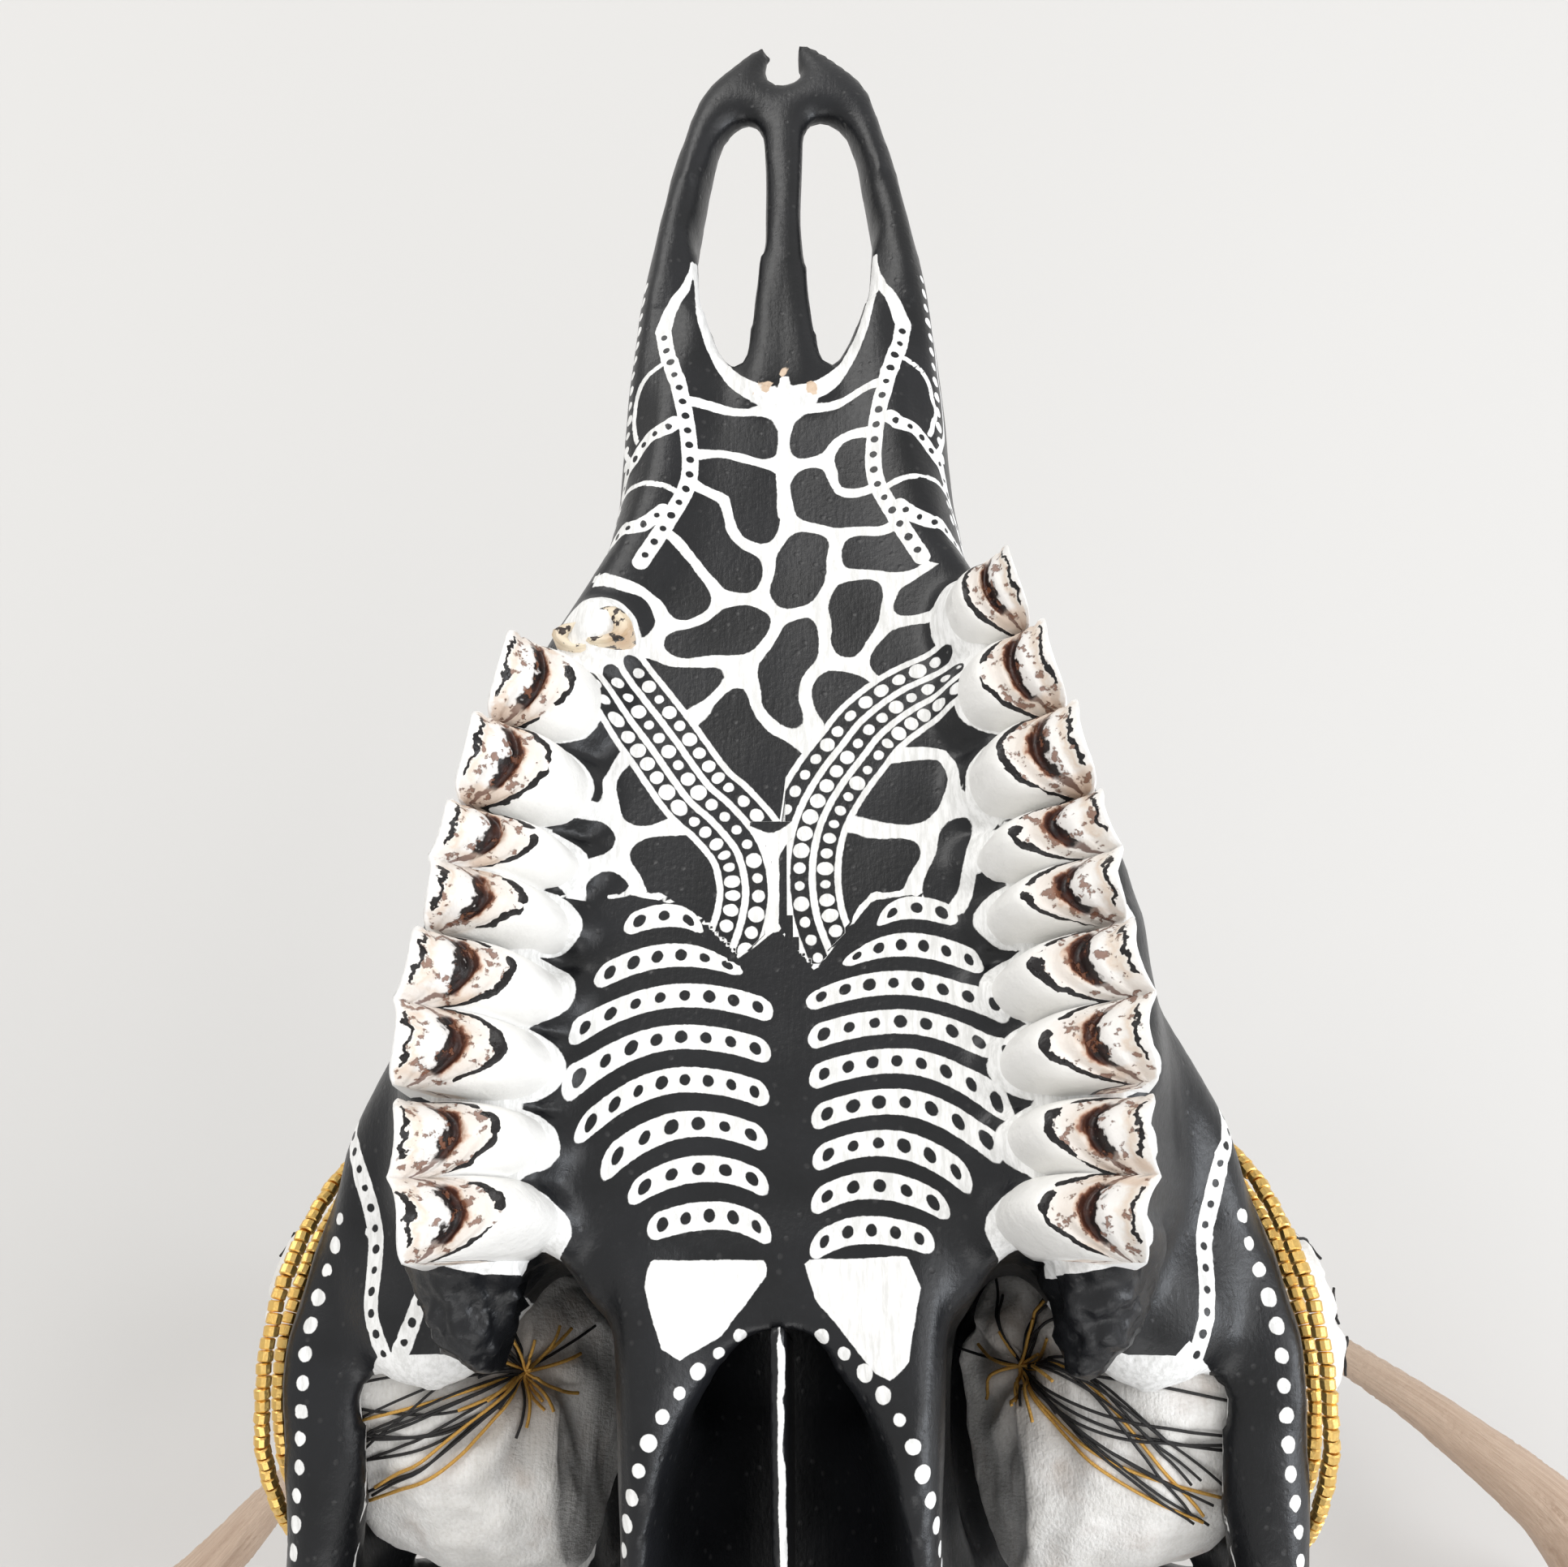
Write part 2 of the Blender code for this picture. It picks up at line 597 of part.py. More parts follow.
def eye_pad(side):
    """A stuffed cloth ball that fills the socket and reaches back inside it."""
    centre, out, ahead, down = orbit_frame()
    # along the socket's axis, radius there, how far the ring sits to the rear, its stretch
    profile = [(-30.5, 0, 8, 1), (-29.5, 10, 8, 1.4), (-24, 15.3, 6.8, 1.12), (-16, 19, 5.2, 1.02),
               (-7, 20, 3.2, 1.02), (-2.5, 20.1, 1.0, 1), (2.0, 20.1, 0, 1), (6.4, 19.1, 0, 1),
               (10.8, 16, 0, 1), (14.3, 10, 0, 1), (15.8, 0, 0, 1)]
    sides = 28
    points = []
    for along, radius, rear, stretch in profile:
        middle = centre + out * along - ahead * rear
        for k in range(sides if radius else 1):
            turn = 2 * math.pi * k / sides
            points.append(middle + (ahead * math.cos(turn) * stretch
                                    + down * math.sin(turn)) * radius)
    faces = []
    last = len(points) - 1
    for k in range(sides):
        m = (k + 1) % sides
        faces.append((0, 1 + m, 1 + k))
        faces.append((last, last - sides + k, last - sides + m))
        for r in range(len(profile) - 3):
            a = 1 + r * sides
            faces.append((a + k, a + m, a + sides + m, a + sides + k))
    made = add_mesh("eye_patch", points, faces)
    return made if side > 0 else flipped(made)


def flipped(made):
    other = mirrored(made)
    remove([made])
    return other


HOOPS = {"inner": (21.9, 1.7), "outer": (25.0, 1.6)}   # radius and place along the axis


def bead_hoop(side, radius, shift):
    made = rim_ring("hoop", radius, shift, 0.9, 0.9, around=28, sides=5)
    return made if side > 0 else flipped(made)


def vomer():
    """The thin wall that parts the inner nostrils."""
    outline = [(-5.5, -2.6), (-14, -4.5), (-26, -9), (-40, -17), (-50, -26), (-40, -30),
               (-20, -30), (-5.5, -22)]
    return prism("vomer", outline, -0.75, 0.75, "x")


# Antlers

BEAM = {
    "left": [(36, -61, -96), (54, -80, -117), (88, -94, -140), (124, -83, -154),
             (143, -54, -160), (137.5, -30, -162), (122, -13.5, -165), (106, -0.5, -169),
             (84, 16, -182), (70, 28, FLOOR_Z)],
    "right": [(-36, -61, -96), (-56, -82, -118), (-95, -100, -141), (-134, -98, -154),
              (-154, -80, -158), (-139, -59, -161), (-117, -37, -164), (-104, -21, -168),
              (-88, -2, -182), (-76, 14, FLOOR_Z)],
}
BEAM_RADII = (12.5, 10.5, 9.8, 9.0, 8.2, 6.7, 4.7, 3.2, 2.9, 2.5)
FORKS = (9, 15)                 # samples of the beam where it is split
# name, sample of the beam it grows from, aim, radius at root and tip
TINES = (("brow_tine", 5, (6, 10, -34), 5.0, 1.4), ("second_tine", 9, (4, 6, None), 6.6, 2.4),
         ("third_tine", 15, (6, 14, -40), 5.4, 1.5))


def beam_stations(label):
    """The beam from burr to tip, starting on the joint with the pedicle."""
    middle, axis = antler_plane()
    sign = 1 if label == "left" else -1
    start = middle + axis * GAP
    first = (sign * start.x, start.y, start.z)
    return [first] + BEAM[label], (13.0,) + BEAM_RADII


def round_bar(name, points, radii, sides=12, flat_ends=None):
    """A tapering round bar along points, with frames carried along the path."""
    rings = []
    side = None
    for i, here in enumerate(points):
        ahead = (points[min(i + 1, len(points) - 1)] - points[max(i - 1, 0)]).normalized()
        if flat_ends and i == 0 and flat_ends[0]:
            ahead = flat_ends[0]
        if flat_ends and i == len(points) - 1 and flat_ends[1]:
            ahead = flat_ends[1]
        if side is None:
            side = ahead.orthogonal().normalized()
        side = (side - ahead * side.dot(ahead)).normalized()
        rise = ahead.cross(side)
        ring = []
        for k in range(sides):
            turn = 2 * math.pi * k / sides
            ring.append(here + (side * math.cos(turn) + rise * math.sin(turn)) * radii[i])
        rings.append(ring)
    return loft(name, rings)


def antler(label):
    """Burr and base, two beam lengths and three tines, each its own node."""
    sign = 1 if label == "left" else -1
    middle, axis = antler_plane()
    axis = Vector((sign * axis.x, axis.y, axis.z))
    points, radii = beam_stations(label)
    steps = 3
    line = smooth_line(points, steps)
    sizes = [v.x for v in smooth_line([(r, 0, 0) for r in radii], steps)]
    cuts = {"base": (0, FORKS[0]), "beam": FORKS, "beam_tip": (FORKS[1], len(line) - 1)}
    down = Vector((0, 0, -1))
    nodes = {}
    for name, (first, last) in cuts.items():
        run = line[first:last + 1]
        size = sizes[first:last + 1]
        ends = [None, None]
        if first == 0:
            ends[0] = axis
        else:
            ends[0] = (line[first + 1] - line[first - 1]).normalized()
            run[0] = run[0] + ends[0] * 0.5 * GAP
        if last < len(line) - 1:
            ends[1] = (line[last + 1] - line[last - 1]).normalized()
            run[-1] = run[-1] - ends[1] * 0.5 * GAP
        else:
            ends[1] = down
        nodes[name] = round_bar(f"antler_{name}_{label}", run, size, 12, ends)
    beams = [grown(nodes[name], "room", GAP) for name in nodes]
    for name, sample, aim, root, tip in TINES:
        where = line[sample]
        reach = Vector((sign * aim[0], aim[1], 0))
        if aim[2] is None:
            reach.z = FLOOR_Z - where.z
        else:
            reach.z = aim[2]
        path = smooth_line([where, where + reach * 0.5 + Vector((sign * 5, -4, 0)),
                            where + reach], 3)
        size = [root + (tip - root) * (i / (len(path) - 1)) ** 1.3 for i in range(len(path))]
        tine = round_bar(f"antler_{name}_{label}", path, size, 10, [None, down])
        rooms = [copy_of(item, "room") for item in beams]
        nodes[name] = keep_largest(combine(tine, rooms, "DIFFERENCE"))
    remove(beams)
    keep_largest(combine(nodes["base"], [burr(sign, middle, axis)], "UNION"))
    for made in nodes.values():
        keep_largest(made)
    return nodes


def burr(sign, middle, axis):
    """The knobbly collar at the foot of the antler."""
    draw = random.Random(3 + sign)
    centre = Vector((sign * middle.x, middle.y, middle.z)) + axis * (GAP + 3.0)
    across = axis.orthogonal().normalized()
    rise = axis.cross(across)
    sides = 18
    rings = []
    for along, radius in ((-3.0, 12.6), (-1.2, 16.4), (1.2, 16.6), (3.6, 12.2)):
        ring = []
        for k in range(sides):
            turn = 2 * math.pi * k / sides
            bump = 1 + (0.07 * (k % 2) + draw.uniform(-0.02, 0.03)) * (radius > 14)
            ring.append(centre + axis * along
                        + (across * math.cos(turn) + rise * math.sin(turn)) * radius * bump)
        rings.append(ring)
    return loft("burr", rings)


# The whole

def settle(made):
    """Shift a finished node from the skull's frame onto the floor."""
    shift = (ROW_SHIFT - Vector((0, 0, FLOOR_Z))) * MM
    made.data.transform(Matrix.Translation(shift))


def finish(made, name, look):
    made.name = name
    made.data.name = name
    made.data.materials.clear()
    made.data.materials.append(material(*look))
    made.data.shade_smooth()
    made.data.set_sharp_from_angle(angle=math.radians(50))
    settle(made)


def main():
    clear_scene()
    pads = {"left": eye_pad(1), "right": eye_pad(-1)}
    hoops = {}
    for label, side in (("left", 1), ("right", -1)):
        hoops["bead_strand_inner_" + label] = bead_hoop(side, *HOOPS["inner"])
        hoops["bead_strand_outer_" + label] = bead_hoop(side, *HOOPS["outer"])
    wall = vomer()
    for label, pad in pads.items():
        rooms = [grown(hoops[f"bead_strand_{place}_{label}"], "room", GAP)
                 for place in ("inner", "outer")]
        keep_largest(combine(pad, rooms, "DIFFERENCE"))
    bone = fused_bone()
    inserts = list(pads.values()) + list(hoops.values()) + [wall]
    nodes = part_bone(bone, inserts)
    for name, made in nodes.items():
        finish(made, name, (name, BLACK, 0.45, 0.0))
    for label in ("left", "right"):
        finish(pads[label], "eye_patch_" + label, ("eye_patch_" + label, CLOTH, 0.9, 0.0))
        for part, made in antler(label).items():
            name = f"antler_{part}_{label}"
            finish(made, name, (name, TAN, 0.6, 0.0))
    for name, made in hoops.items():
        finish(keep_largest(made), name, (name, GOLD, 0.25, 1.0))
    finish(keep_largest(wall), "vomer", ("vomer", BLACK, 0.45, 0.0))
    total = 0
    low = Vector((9, 9, 9))
    high = Vector((-9, -9, -9))
    for made in sorted(bpy.context.scene.objects, key=lambda item: item.name):
        count = len(made.data.polygons)
        total += count
        for vert in made.data.vertices:
            for i in range(3):
                low[i] = min(low[i], vert.co[i])
                high[i] = max(high[i], vert.co[i])
        print(f"{made.name}: {count} triangles")
    print("all:", total, "triangles, box", [round(v * 1000, 1) for v in low],
          [round(v * 1000, 1) for v in high])


main()
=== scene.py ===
# %% [markdown]
# # A painted deer skull, lying palate up
# The solids of the skull are plain. This lesson gives them their looks: bone
# under black paint, white dots, bars and cells, worn teeth, stuffed eye pads
# with thread, strings of gold beads, and bare antlers.
#
# Sizes are millimetres in the skull's own frame: x to the animal's left, y
# toward the snout from the back of the last molar, and z toward the palate.

import math
import random

import bmesh
import bpy
import numpy as np
from mathutils import Matrix, Vector, noise
from mathutils.bvhtree import BVHTree
from mathutils.kdtree import KDTree


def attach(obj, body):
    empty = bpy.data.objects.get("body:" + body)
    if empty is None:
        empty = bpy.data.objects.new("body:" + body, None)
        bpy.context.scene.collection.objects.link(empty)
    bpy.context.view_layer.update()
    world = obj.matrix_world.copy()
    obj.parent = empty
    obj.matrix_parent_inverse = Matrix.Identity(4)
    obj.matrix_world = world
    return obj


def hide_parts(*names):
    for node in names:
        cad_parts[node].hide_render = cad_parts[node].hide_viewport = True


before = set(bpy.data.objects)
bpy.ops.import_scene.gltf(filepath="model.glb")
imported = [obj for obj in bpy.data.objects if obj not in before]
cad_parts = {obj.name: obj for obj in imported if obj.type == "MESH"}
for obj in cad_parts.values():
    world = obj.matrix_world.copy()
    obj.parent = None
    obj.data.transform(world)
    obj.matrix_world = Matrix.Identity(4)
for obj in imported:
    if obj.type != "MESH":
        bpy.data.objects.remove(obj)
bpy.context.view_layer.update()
MM = 0.001
SKULL = np.array((5.5, -27.7, 206.0))   # where the skull frame's zero lies over the floor
SIDES = (("left", 1), ("right", -1))
print("solids:", len(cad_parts))

# %% [markdown]
# ## Small tools
# A skull has no straight edges, so most pieces are grown from copies of the
# solids with the Remesh and Smooth modifiers, and then shaped by moving their
# vertices, as a sculptor would. Numpy arrays keep that quick.

# %% Tools for placing, picking and shaping
def place(point):
    return Vector((np.array(point, float) + SKULL) * MM)


def read(obj, what="co"):
    """The object's vertices in skull millimetres, or their normals."""
    flat = np.empty(len(obj.data.vertices) * 3)
    obj.data.vertices.foreach_get(what, flat)
    rows = flat.reshape(-1, 3)
    return rows / MM - SKULL if what == "co" else rows


def write(obj, points):
    obj.data.vertices.foreach_set("co", ((points + SKULL) * MM).ravel())
    obj.data.update()


def pick(*objects):
    bpy.ops.object.select_all(action="DESELECT")
    for obj in objects:
        obj.select_set(True)
    bpy.context.view_layer.objects.active = objects[0]


def work_on(obj, kind, **settings):
    """Add a modifier, set it and apply it."""
    made = obj.modifiers.new(kind.title(), kind)
    for name, value in settings.items():
        setattr(made, name, value)
    pick(obj)
    bpy.ops.object.modifier_apply(modifier=made.name)


def new_object(name, points, faces):
    mesh = bpy.data.meshes.new(name)
    mesh.from_pydata([place(p) for p in points], [], faces)
    obj = bpy.data.objects.new(name, mesh)
    bpy.context.collection.objects.link(obj)
    return obj


def outward(obj):
    pick(obj)
    bpy.ops.object.mode_set(mode="EDIT")
    bpy.ops.mesh.select_all(action="SELECT")
    bpy.ops.mesh.normals_make_consistent(inside=False)
    bpy.ops.object.mode_set(mode="OBJECT")

# %% Copies of the solids, and trees that find what is near
def copy_of(node, name):
    """A copy of a solid, its loose triangles merged."""
    copy = bpy.data.objects.new(name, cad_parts[node].data.copy())
    bpy.context.collection.objects.link(copy)
    pick(copy)
    bpy.ops.object.mode_set(mode="EDIT")
    bpy.ops.mesh.select_all(action="SELECT")
    bpy.ops.mesh.remove_doubles(threshold=1e-6)
    bpy.ops.object.mode_set(mode="OBJECT")
    return copy


def surface_of(obj):
    """A tree that finds where a ray meets the piece, or its nearest spot."""
    return BVHTree.FromObject(obj, bpy.context.evaluated_depsgraph_get())


def tree_of(points):
    """A tree that finds the nearest of these points."""
    tree = KDTree(len(points))
    for i, p in enumerate(points):
        tree.insert(p, i)
    tree.balance()
    return tree

# %% Lines and soft noise
def unit(way):
    return way / np.linalg.norm(way)


def headings(line):
    """The way along a line at each of its points."""
    way = np.gradient(line, axis=0)
    return way / (np.linalg.norm(way, axis=1)[:, None] + 1e-9)


def smooth_line(points, step=0.5):
    """A Catmull-Rom line through the points, with a sample about every step."""
    points = [np.array(p, float) for p in points]
    ends = [2 * points[0] - points[1], *points, 2 * points[-1] - points[-2]]
    line = []
    for a, b, c, d in zip(ends, ends[1:], ends[2:], ends[3:]):
        count = max(1, int(np.linalg.norm(c - b) / step))
        for t in np.arange(count) / count:
            line.append(0.5 * (2 * b + (c - a) * t + (2 * a - 5 * b + 4 * c - d) * t * t
                               + (3 * b - a - 3 * c + d) * t ** 3))
    return np.array(line + [points[-1]])


def rough(points, scale, seed=0.0, octaves=3):
    """Soft noise from -1 to 1, one value a point."""
    shift = Vector((seed, seed * 1.7, seed * 0.3))
    return np.array([noise.fractal(Vector(p) / scale + shift, 1.0, 2.0, octaves)
                     for p in points])

# %% What a finished piece carries
def store(obj, name, values):
    """Keep numbers on the vertices, for the material to read."""
    kind = "FLOAT_VECTOR" if values.ndim == 2 else "FLOAT"
    layer = obj.data.attributes.new(name, kind, "POINT")
    layer.data.foreach_set("vector" if values.ndim == 2 else "value", values.ravel())


def dress(obj, material, nodes=()):
    """Give a finished piece its material and its place in the part."""
    obj.data.materials.clear()
    obj.data.materials.append(material)
    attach(obj, "root")
    if nodes:
        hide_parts(*nodes)
    print(obj.name, len(obj.data.polygons), "faces")

# %% [markdown]
# ## Camera, light and floor
# The photograph looks down on the palate with the snout up. The floor is pale
# and the light comes from large soft panels, as in a product studio.

# %% The camera
EYE = (2.98, -18.26, 157.93)            # the camera in the skull frame, before the skull is rolled
PITCH, YAW, ROLL = (math.radians(a) for a in (23.91, -0.81, -0.06))
LEAN = math.radians(2.2)                # the skull lay rolled by this much under the camera
FOCAL = 1900.0                          # pixels
PIXELS = 1932.0
SENSOR = 36.0

ahead = Vector((0, math.sin(PITCH), -math.cos(PITCH)))
above = Vector((0, math.cos(PITCH), math.sin(PITCH)))
right = Vector((1, 0, 0))
ahead, right = (ahead * math.cos(YAW) + right * math.sin(YAW),
                right * math.cos(YAW) - ahead * math.sin(YAW))
right, above = (right * math.cos(ROLL) + above * math.sin(ROLL),
                above * math.cos(ROLL) - right * math.sin(ROLL))
lean = Matrix.Rotation(LEAN, 3, "Y")
ahead, right, above = lean @ ahead, lean @ right, lean @ above
EYE = lean @ (Vector(EYE) - Vector((0.3, 0, 0))) + Vector((0.3, 0, 0))
camera = bpy.data.objects.new("camera", bpy.data.cameras.new("camera"))
bpy.context.collection.objects.link(camera)
turn = Matrix((right, above, -ahead)).transposed().to_4x4()
camera.matrix_world = Matrix.Translation(place(EYE)) @ turn
camera.data.sensor_width = SENSOR
camera.data.lens = FOCAL / PIXELS * SENSOR
camera.data.clip_start = 0.01
bpy.context.scene.camera = camera

# %% The floor and the light
bpy.context.scene.view_settings.view_transform = "Standard"


def plain(name, colour, roughness):
    made = bpy.data.materials.new(name)
    made.use_nodes = True
    shader = made.node_tree.nodes["Principled BSDF"]
    shader.inputs["Base Color"].default_value = (*colour, 1)
    shader.inputs["Roughness"].default_value = roughness
    return made


bpy.ops.mesh.primitive_plane_add(size=30, location=(0, 0, -0.0003))
floor = bpy.context.object
floor.name = "floor"
floor.data.materials.append(plain("pale_floor", (0.655, 0.648, 0.637), 0.9))

world = bpy.data.worlds.new("studio")
world.use_nodes = True
world.node_tree.nodes["Background"].inputs[0].default_value = (1.0, 0.99, 0.975, 1)
world.node_tree.nodes["Background"].inputs[1].default_value = 0.70
bpy.context.scene.world = world


def panel(name, where, size, power, colour=(1, 1, 1)):
    light = bpy.data.lights.new(name, "AREA")
    light.shape, light.size, light.size_y = "RECTANGLE", *size
    light.energy, light.color = power, colour
    lamp = bpy.data.objects.new(name, light)
    lamp.location = where
    lamp.rotation_euler = (Vector((0, 0, 0.12)) - Vector(where)).to_track_quat("-Z", "Y").to_euler()
    bpy.context.collection.objects.link(lamp)


panel("key", (-0.9, 1.3, 1.7), (1.6, 1.0), 21, (1.0, 0.99, 0.97))
panel("fill", (1.5, -0.2, 1.4), (1.2, 1.6), 13, (0.97, 0.98, 1.0))
panel("low", (0.3, -1.6, 0.9), (1.4, 0.8), 7)
panel("window", (1.15, -0.35, 0.5), (0.5, 0.5), 5, (0.88, 0.93, 1.0))

# %% [markdown]
# ## The bone
# On a dry skull the bones have grown together, so one skin covers them all. The
# solids are copied, the teeth are cut away, each copy is swollen a little to
# close the joints, and the whole is remeshed and smoothed into one surface.

# %% A skin over the solids
BONES = ("cranium", "maxilla_left", "maxilla_right", "nasal_bones", "palatine_pterygoid",
         "premaxilla_left", "premaxilla_right", "zygomatic_arch_left", "zygomatic_arch_right")
GUM = 3.2                               # the teeth are cut away above this


def skin(name, nodes, voxel, passes, swell):
    copies = []
    for node in nodes:
        copy = copy_of(node, name)
        if node.startswith("maxilla"):
            bpy.ops.object.mode_set(mode="EDIT")
            bpy.ops.mesh.select_all(action="SELECT")
            bpy.ops.mesh.bisect(plane_co=place((0, 0, GUM)), plane_no=(0, 0, 1),
                                clear_outer=True, use_fill=True)
            bpy.ops.object.mode_set(mode="OBJECT")
        work_on(copy, "DISPLACE", strength=swell * MM, mid_level=0.0)
        copies.append(copy)
    pick(*copies)
    bpy.ops.object.join()
    whole = copies[0]
    work_on(whole, "REMESH", mode="VOXEL", voxel_size=voxel * MM)
    work_on(whole, "SMOOTH", factor=0.5, iterations=passes)
    whole.name = whole.data.name = name
    print(name, "skin:", len(whole.data.polygons), "faces")
    return whole


bone = skin("painted_skull", BONES, 1.24, 6, 0.28)

# %% [markdown]
# The palate is what the eye lands on, so its faces are split once more. The
# rest keeps the coarser mesh, and the piece stays under 200,000 triangles.

# %% A finer mesh on the palate
FINE_REGION = ((-36, 36), (-34, 132), -13)   # x, y and the lowest z


def refine(obj):
    (x0, x1), (y0, y1), low = FINE_REGION
    (x, y, z), facing = read(obj).T, read(obj, "normal")
    chosen = (x > x0) & (x < x1) & (y > y0) & (y < y1) & (z > low) & (facing[:, 2] > 0.1)
    work = bmesh.new()
    work.from_mesh(obj.data)
    edges = {e for f in work.faces if all(chosen[v.index] for v in f.verts) for e in f.edges}
    bmesh.ops.subdivide_edges(work, edges=list(edges), cuts=1, use_grid_fill=True)
    work.to_mesh(obj.data)
    work.free()
    count = sum(len(f.vertices) - 2 for f in obj.data.polygons)
    print("bone:", count, "triangles")


refine(bone)

# %% [markdown]
# ## Teeth
# A deer's cheek teeth carry crescents: a ridge of white enamel round brown
# dentine, with a dark pit between the inner and the outer crescent. Each tooth
# is a grid of profiles from the gum on the tongue side, up a rounded face, over
# the worn top and down the cheek side.

# %% The tooth row's sizes, as in the solids
# Each tooth has its length along the row, its width, its height and its lobes.
TEETH = (("p2", 10.0, 9.0, 11.5, 1), ("p3", 11.0, 12.0, 12.5, 1), ("p4", 10.0, 13.5, 14.0, 1),
         ("m1", 14.0, 15.0, 14.5, 2), ("m2", 16.0, 16.0, 15.0, 2), ("m3", 15.5, 15.0, 14.0, 2))
ROW = 76.0                              # the whole row's length
STUB_X = 21.2                           # the broken tooth's roots, out from the middle
FACE, TOP, CHEEK = 10, 24, 6            # samples across a tooth: inner face, top, outer face


def row_x(y):
    """How far out from the middle the row runs at y."""
    t = (ROW - y) / ROW
    return 22.0 + 8.6 * math.sin(1.62 * t ** 0.85) - 2.2 * max(0.0, t - 0.8) / 0.2 * t

# %% One tooth, slice by slice
def tooth_profile(s, width, height, lobes, draw):
    """Points (out, up) across a tooth at s along it, and their place on the crown."""
    lobe = abs(math.sin(math.pi * (s + 1) * lobes / 2))
    end = abs(s) ** 7
    base_in = -width * (0.31 + 0.19 * lobe ** 0.6) * (1 - 0.22 * end)
    crest_out = width * (0.43 - 0.10 * lobe) * (1 - 0.12 * end)
    crest_in = crest_out - width * (0.24 + 0.36 * lobe ** 0.55) * (1 - 0.45 * end)
    base_out = crest_out + width * 0.05
    top_in = height - 4.0 + 1.3 * lobe - 1.4 * end
    top_out = height - 1.1 + 2.4 * lobe ** 1.3 - 1.6 * end
    points, marks = [(base_in * 0.8, -5.0)], [-1.2]
    for k in range(FACE):
        a = k / FACE
        points.append((base_in + (crest_in - base_in) * a ** 1.15,
                       0.6 + (top_in - 0.6) * math.sin(0.5 * math.pi * a) ** 0.9))
        marks.append(a - 1)
    wide = crest_out - crest_in
    for k in range(TOP + 1):
        q = k / TOP
        rise = top_in + (top_out - top_in) * q ** 1.3
        rise -= 1.7 * min(1, wide / 5) * lobe * math.exp(-((q - 0.46) / 0.09) ** 2)
        rise -= 0.5 * math.exp(-((q - 0.2) / 0.09) ** 2)
        rise -= 0.5 * math.exp(-((q - 0.74) / 0.08) ** 2)
        points.append((crest_in + wide * q, rise + draw.uniform(-0.06, 0.06)))
        marks.append(q)
    for k in range(1, CHEEK + 1):
        b = k / CHEEK
        points.append((crest_out + (base_out - crest_out) * b ** 0.5,
                       top_out + (1.0 - top_out) * b ** 1.2))
        marks.append(1 + b)
    points.append((base_out * 0.8, -5.0))
    marks.append(2.2)
    return points, marks, lobe


def add_tooth(shell, y, length, width, height, lobes, side, seed):
    """Append one closed tooth to the row's points, faces and marks."""
    points, faces, crown = shell
    draw = random.Random(seed)
    middle, lean = row_x(y), math.atan2(row_x(y + 1) - row_x(y - 1), 2)
    rows = 22 * lobes
    first = len(points)
    for i in range(rows + 1):
        s = 2 * i / rows - 1
        profile, marks, lobe = tooth_profile(s, width, height, lobes, draw)
        for (out, up), mark in zip(profile, marks):
            pinch = 1 - 0.10 * max(0.0, 1 - up / height)
            forward = 0.5 * length * s * pinch
            points.append((side * (middle + out * math.cos(lean) + forward * math.sin(lean)),
                           y + forward * math.cos(lean) - out * math.sin(lean), up))
            crown.append((mark, s * lobes + seed, lobe))
    across = len(profile)
    for i in range(rows):
        for k in range(across):
            a, b = first + i * across + k, first + i * across + (k + 1) % across
            faces.append((a, b, b + across, a + across))
    faces.append(tuple(first + k for k in range(across)))
    faces.append(tuple(first + rows * across + k for k in range(across)))

# %% A broken root
def add_stub(shell, x, y, radius, height, lean, seed):
    """A broken root, hollow and ragged at the top."""
    points, faces, crown = shell
    draw = random.Random(seed)
    first, sides = len(points), 20
    levels = [(-4, 0.8, -1), (0.5, 1.0, -1), (height - 0.4, 1.02, -0.1), (height, 0.86, 0.1),
              (height - 0.3, 0.55, 0.3), (height - 1.1, 0.3, 0.46)]
    for level, share, mark in levels:
        for k in range(sides):
            turn = 2 * math.pi * k / sides
            reach = radius * share * (1 + 0.08 * math.sin(3 * turn + seed))
            points.append((x + reach * math.cos(turn) * 1.1, y + reach * math.sin(turn) * 0.9,
                           level + (mark > -0.5) * (lean * math.cos(turn)
                                                    + draw.uniform(-0.15, 0.15))))
            crown.append((mark, seed, 0.5))
    for r in range(len(levels) - 1):
        for k in range(sides):
            a, b = first + r * sides + k, first + r * sides + (k + 1) % sides
            faces.append((a, b, b + sides, a + sides))
    faces.append(tuple(first + k for k in range(sides)))
    faces.append(tuple(len(points) - sides + k for k in range(sides)))


# %% Both tooth rows
tooth_rows = {}
tooth_places = []                       # x, y, half width of each tooth, for the bone round it
for label, side in SIDES:
    wear = random.Random(7)
    shell = ([], [], [])
    front = ROW
    for number, (name, length, width, height, lobes) in enumerate(TEETH):
        height += wear.uniform(-0.5, 0.5)
        y = front - 0.5 * length
        if side < 0 and name == "p2":
            add_stub(shell, -STUB_X + 1.4, y - 0.9, 2.7, 4.6, 0.5, 3)
            add_stub(shell, -STUB_X - 2.4, y - 1.8, 2.1, 4.0, -0.4, 5)
            tooth_places.append((-STUB_X, y - 1, 3.5, 4.0))
        else:
            add_tooth(shell, y, length + 0.3, width, height, lobes, side, 10 * number + side)
            for part in range(lobes):
                at = y + (part - 0.5 * (lobes - 1)) * length / lobes
                tooth_places.append((side * row_x(at), at, 0.5 * width, 0.5 * length / lobes))
        front -= length
    points, faces, crown = shell
    row = new_object("tooth_row_" + label, points, faces)
    outward(row)
    row.data.shade_smooth()
    store(row, "crown", np.array(crown))
    points = np.array(points)
    store(row, "stub", 5.8 - np.hypot(points[:, 0] + STUB_X + 0.4, points[:, 1] - ROW + 5.5))
    tooth_rows[label] = row

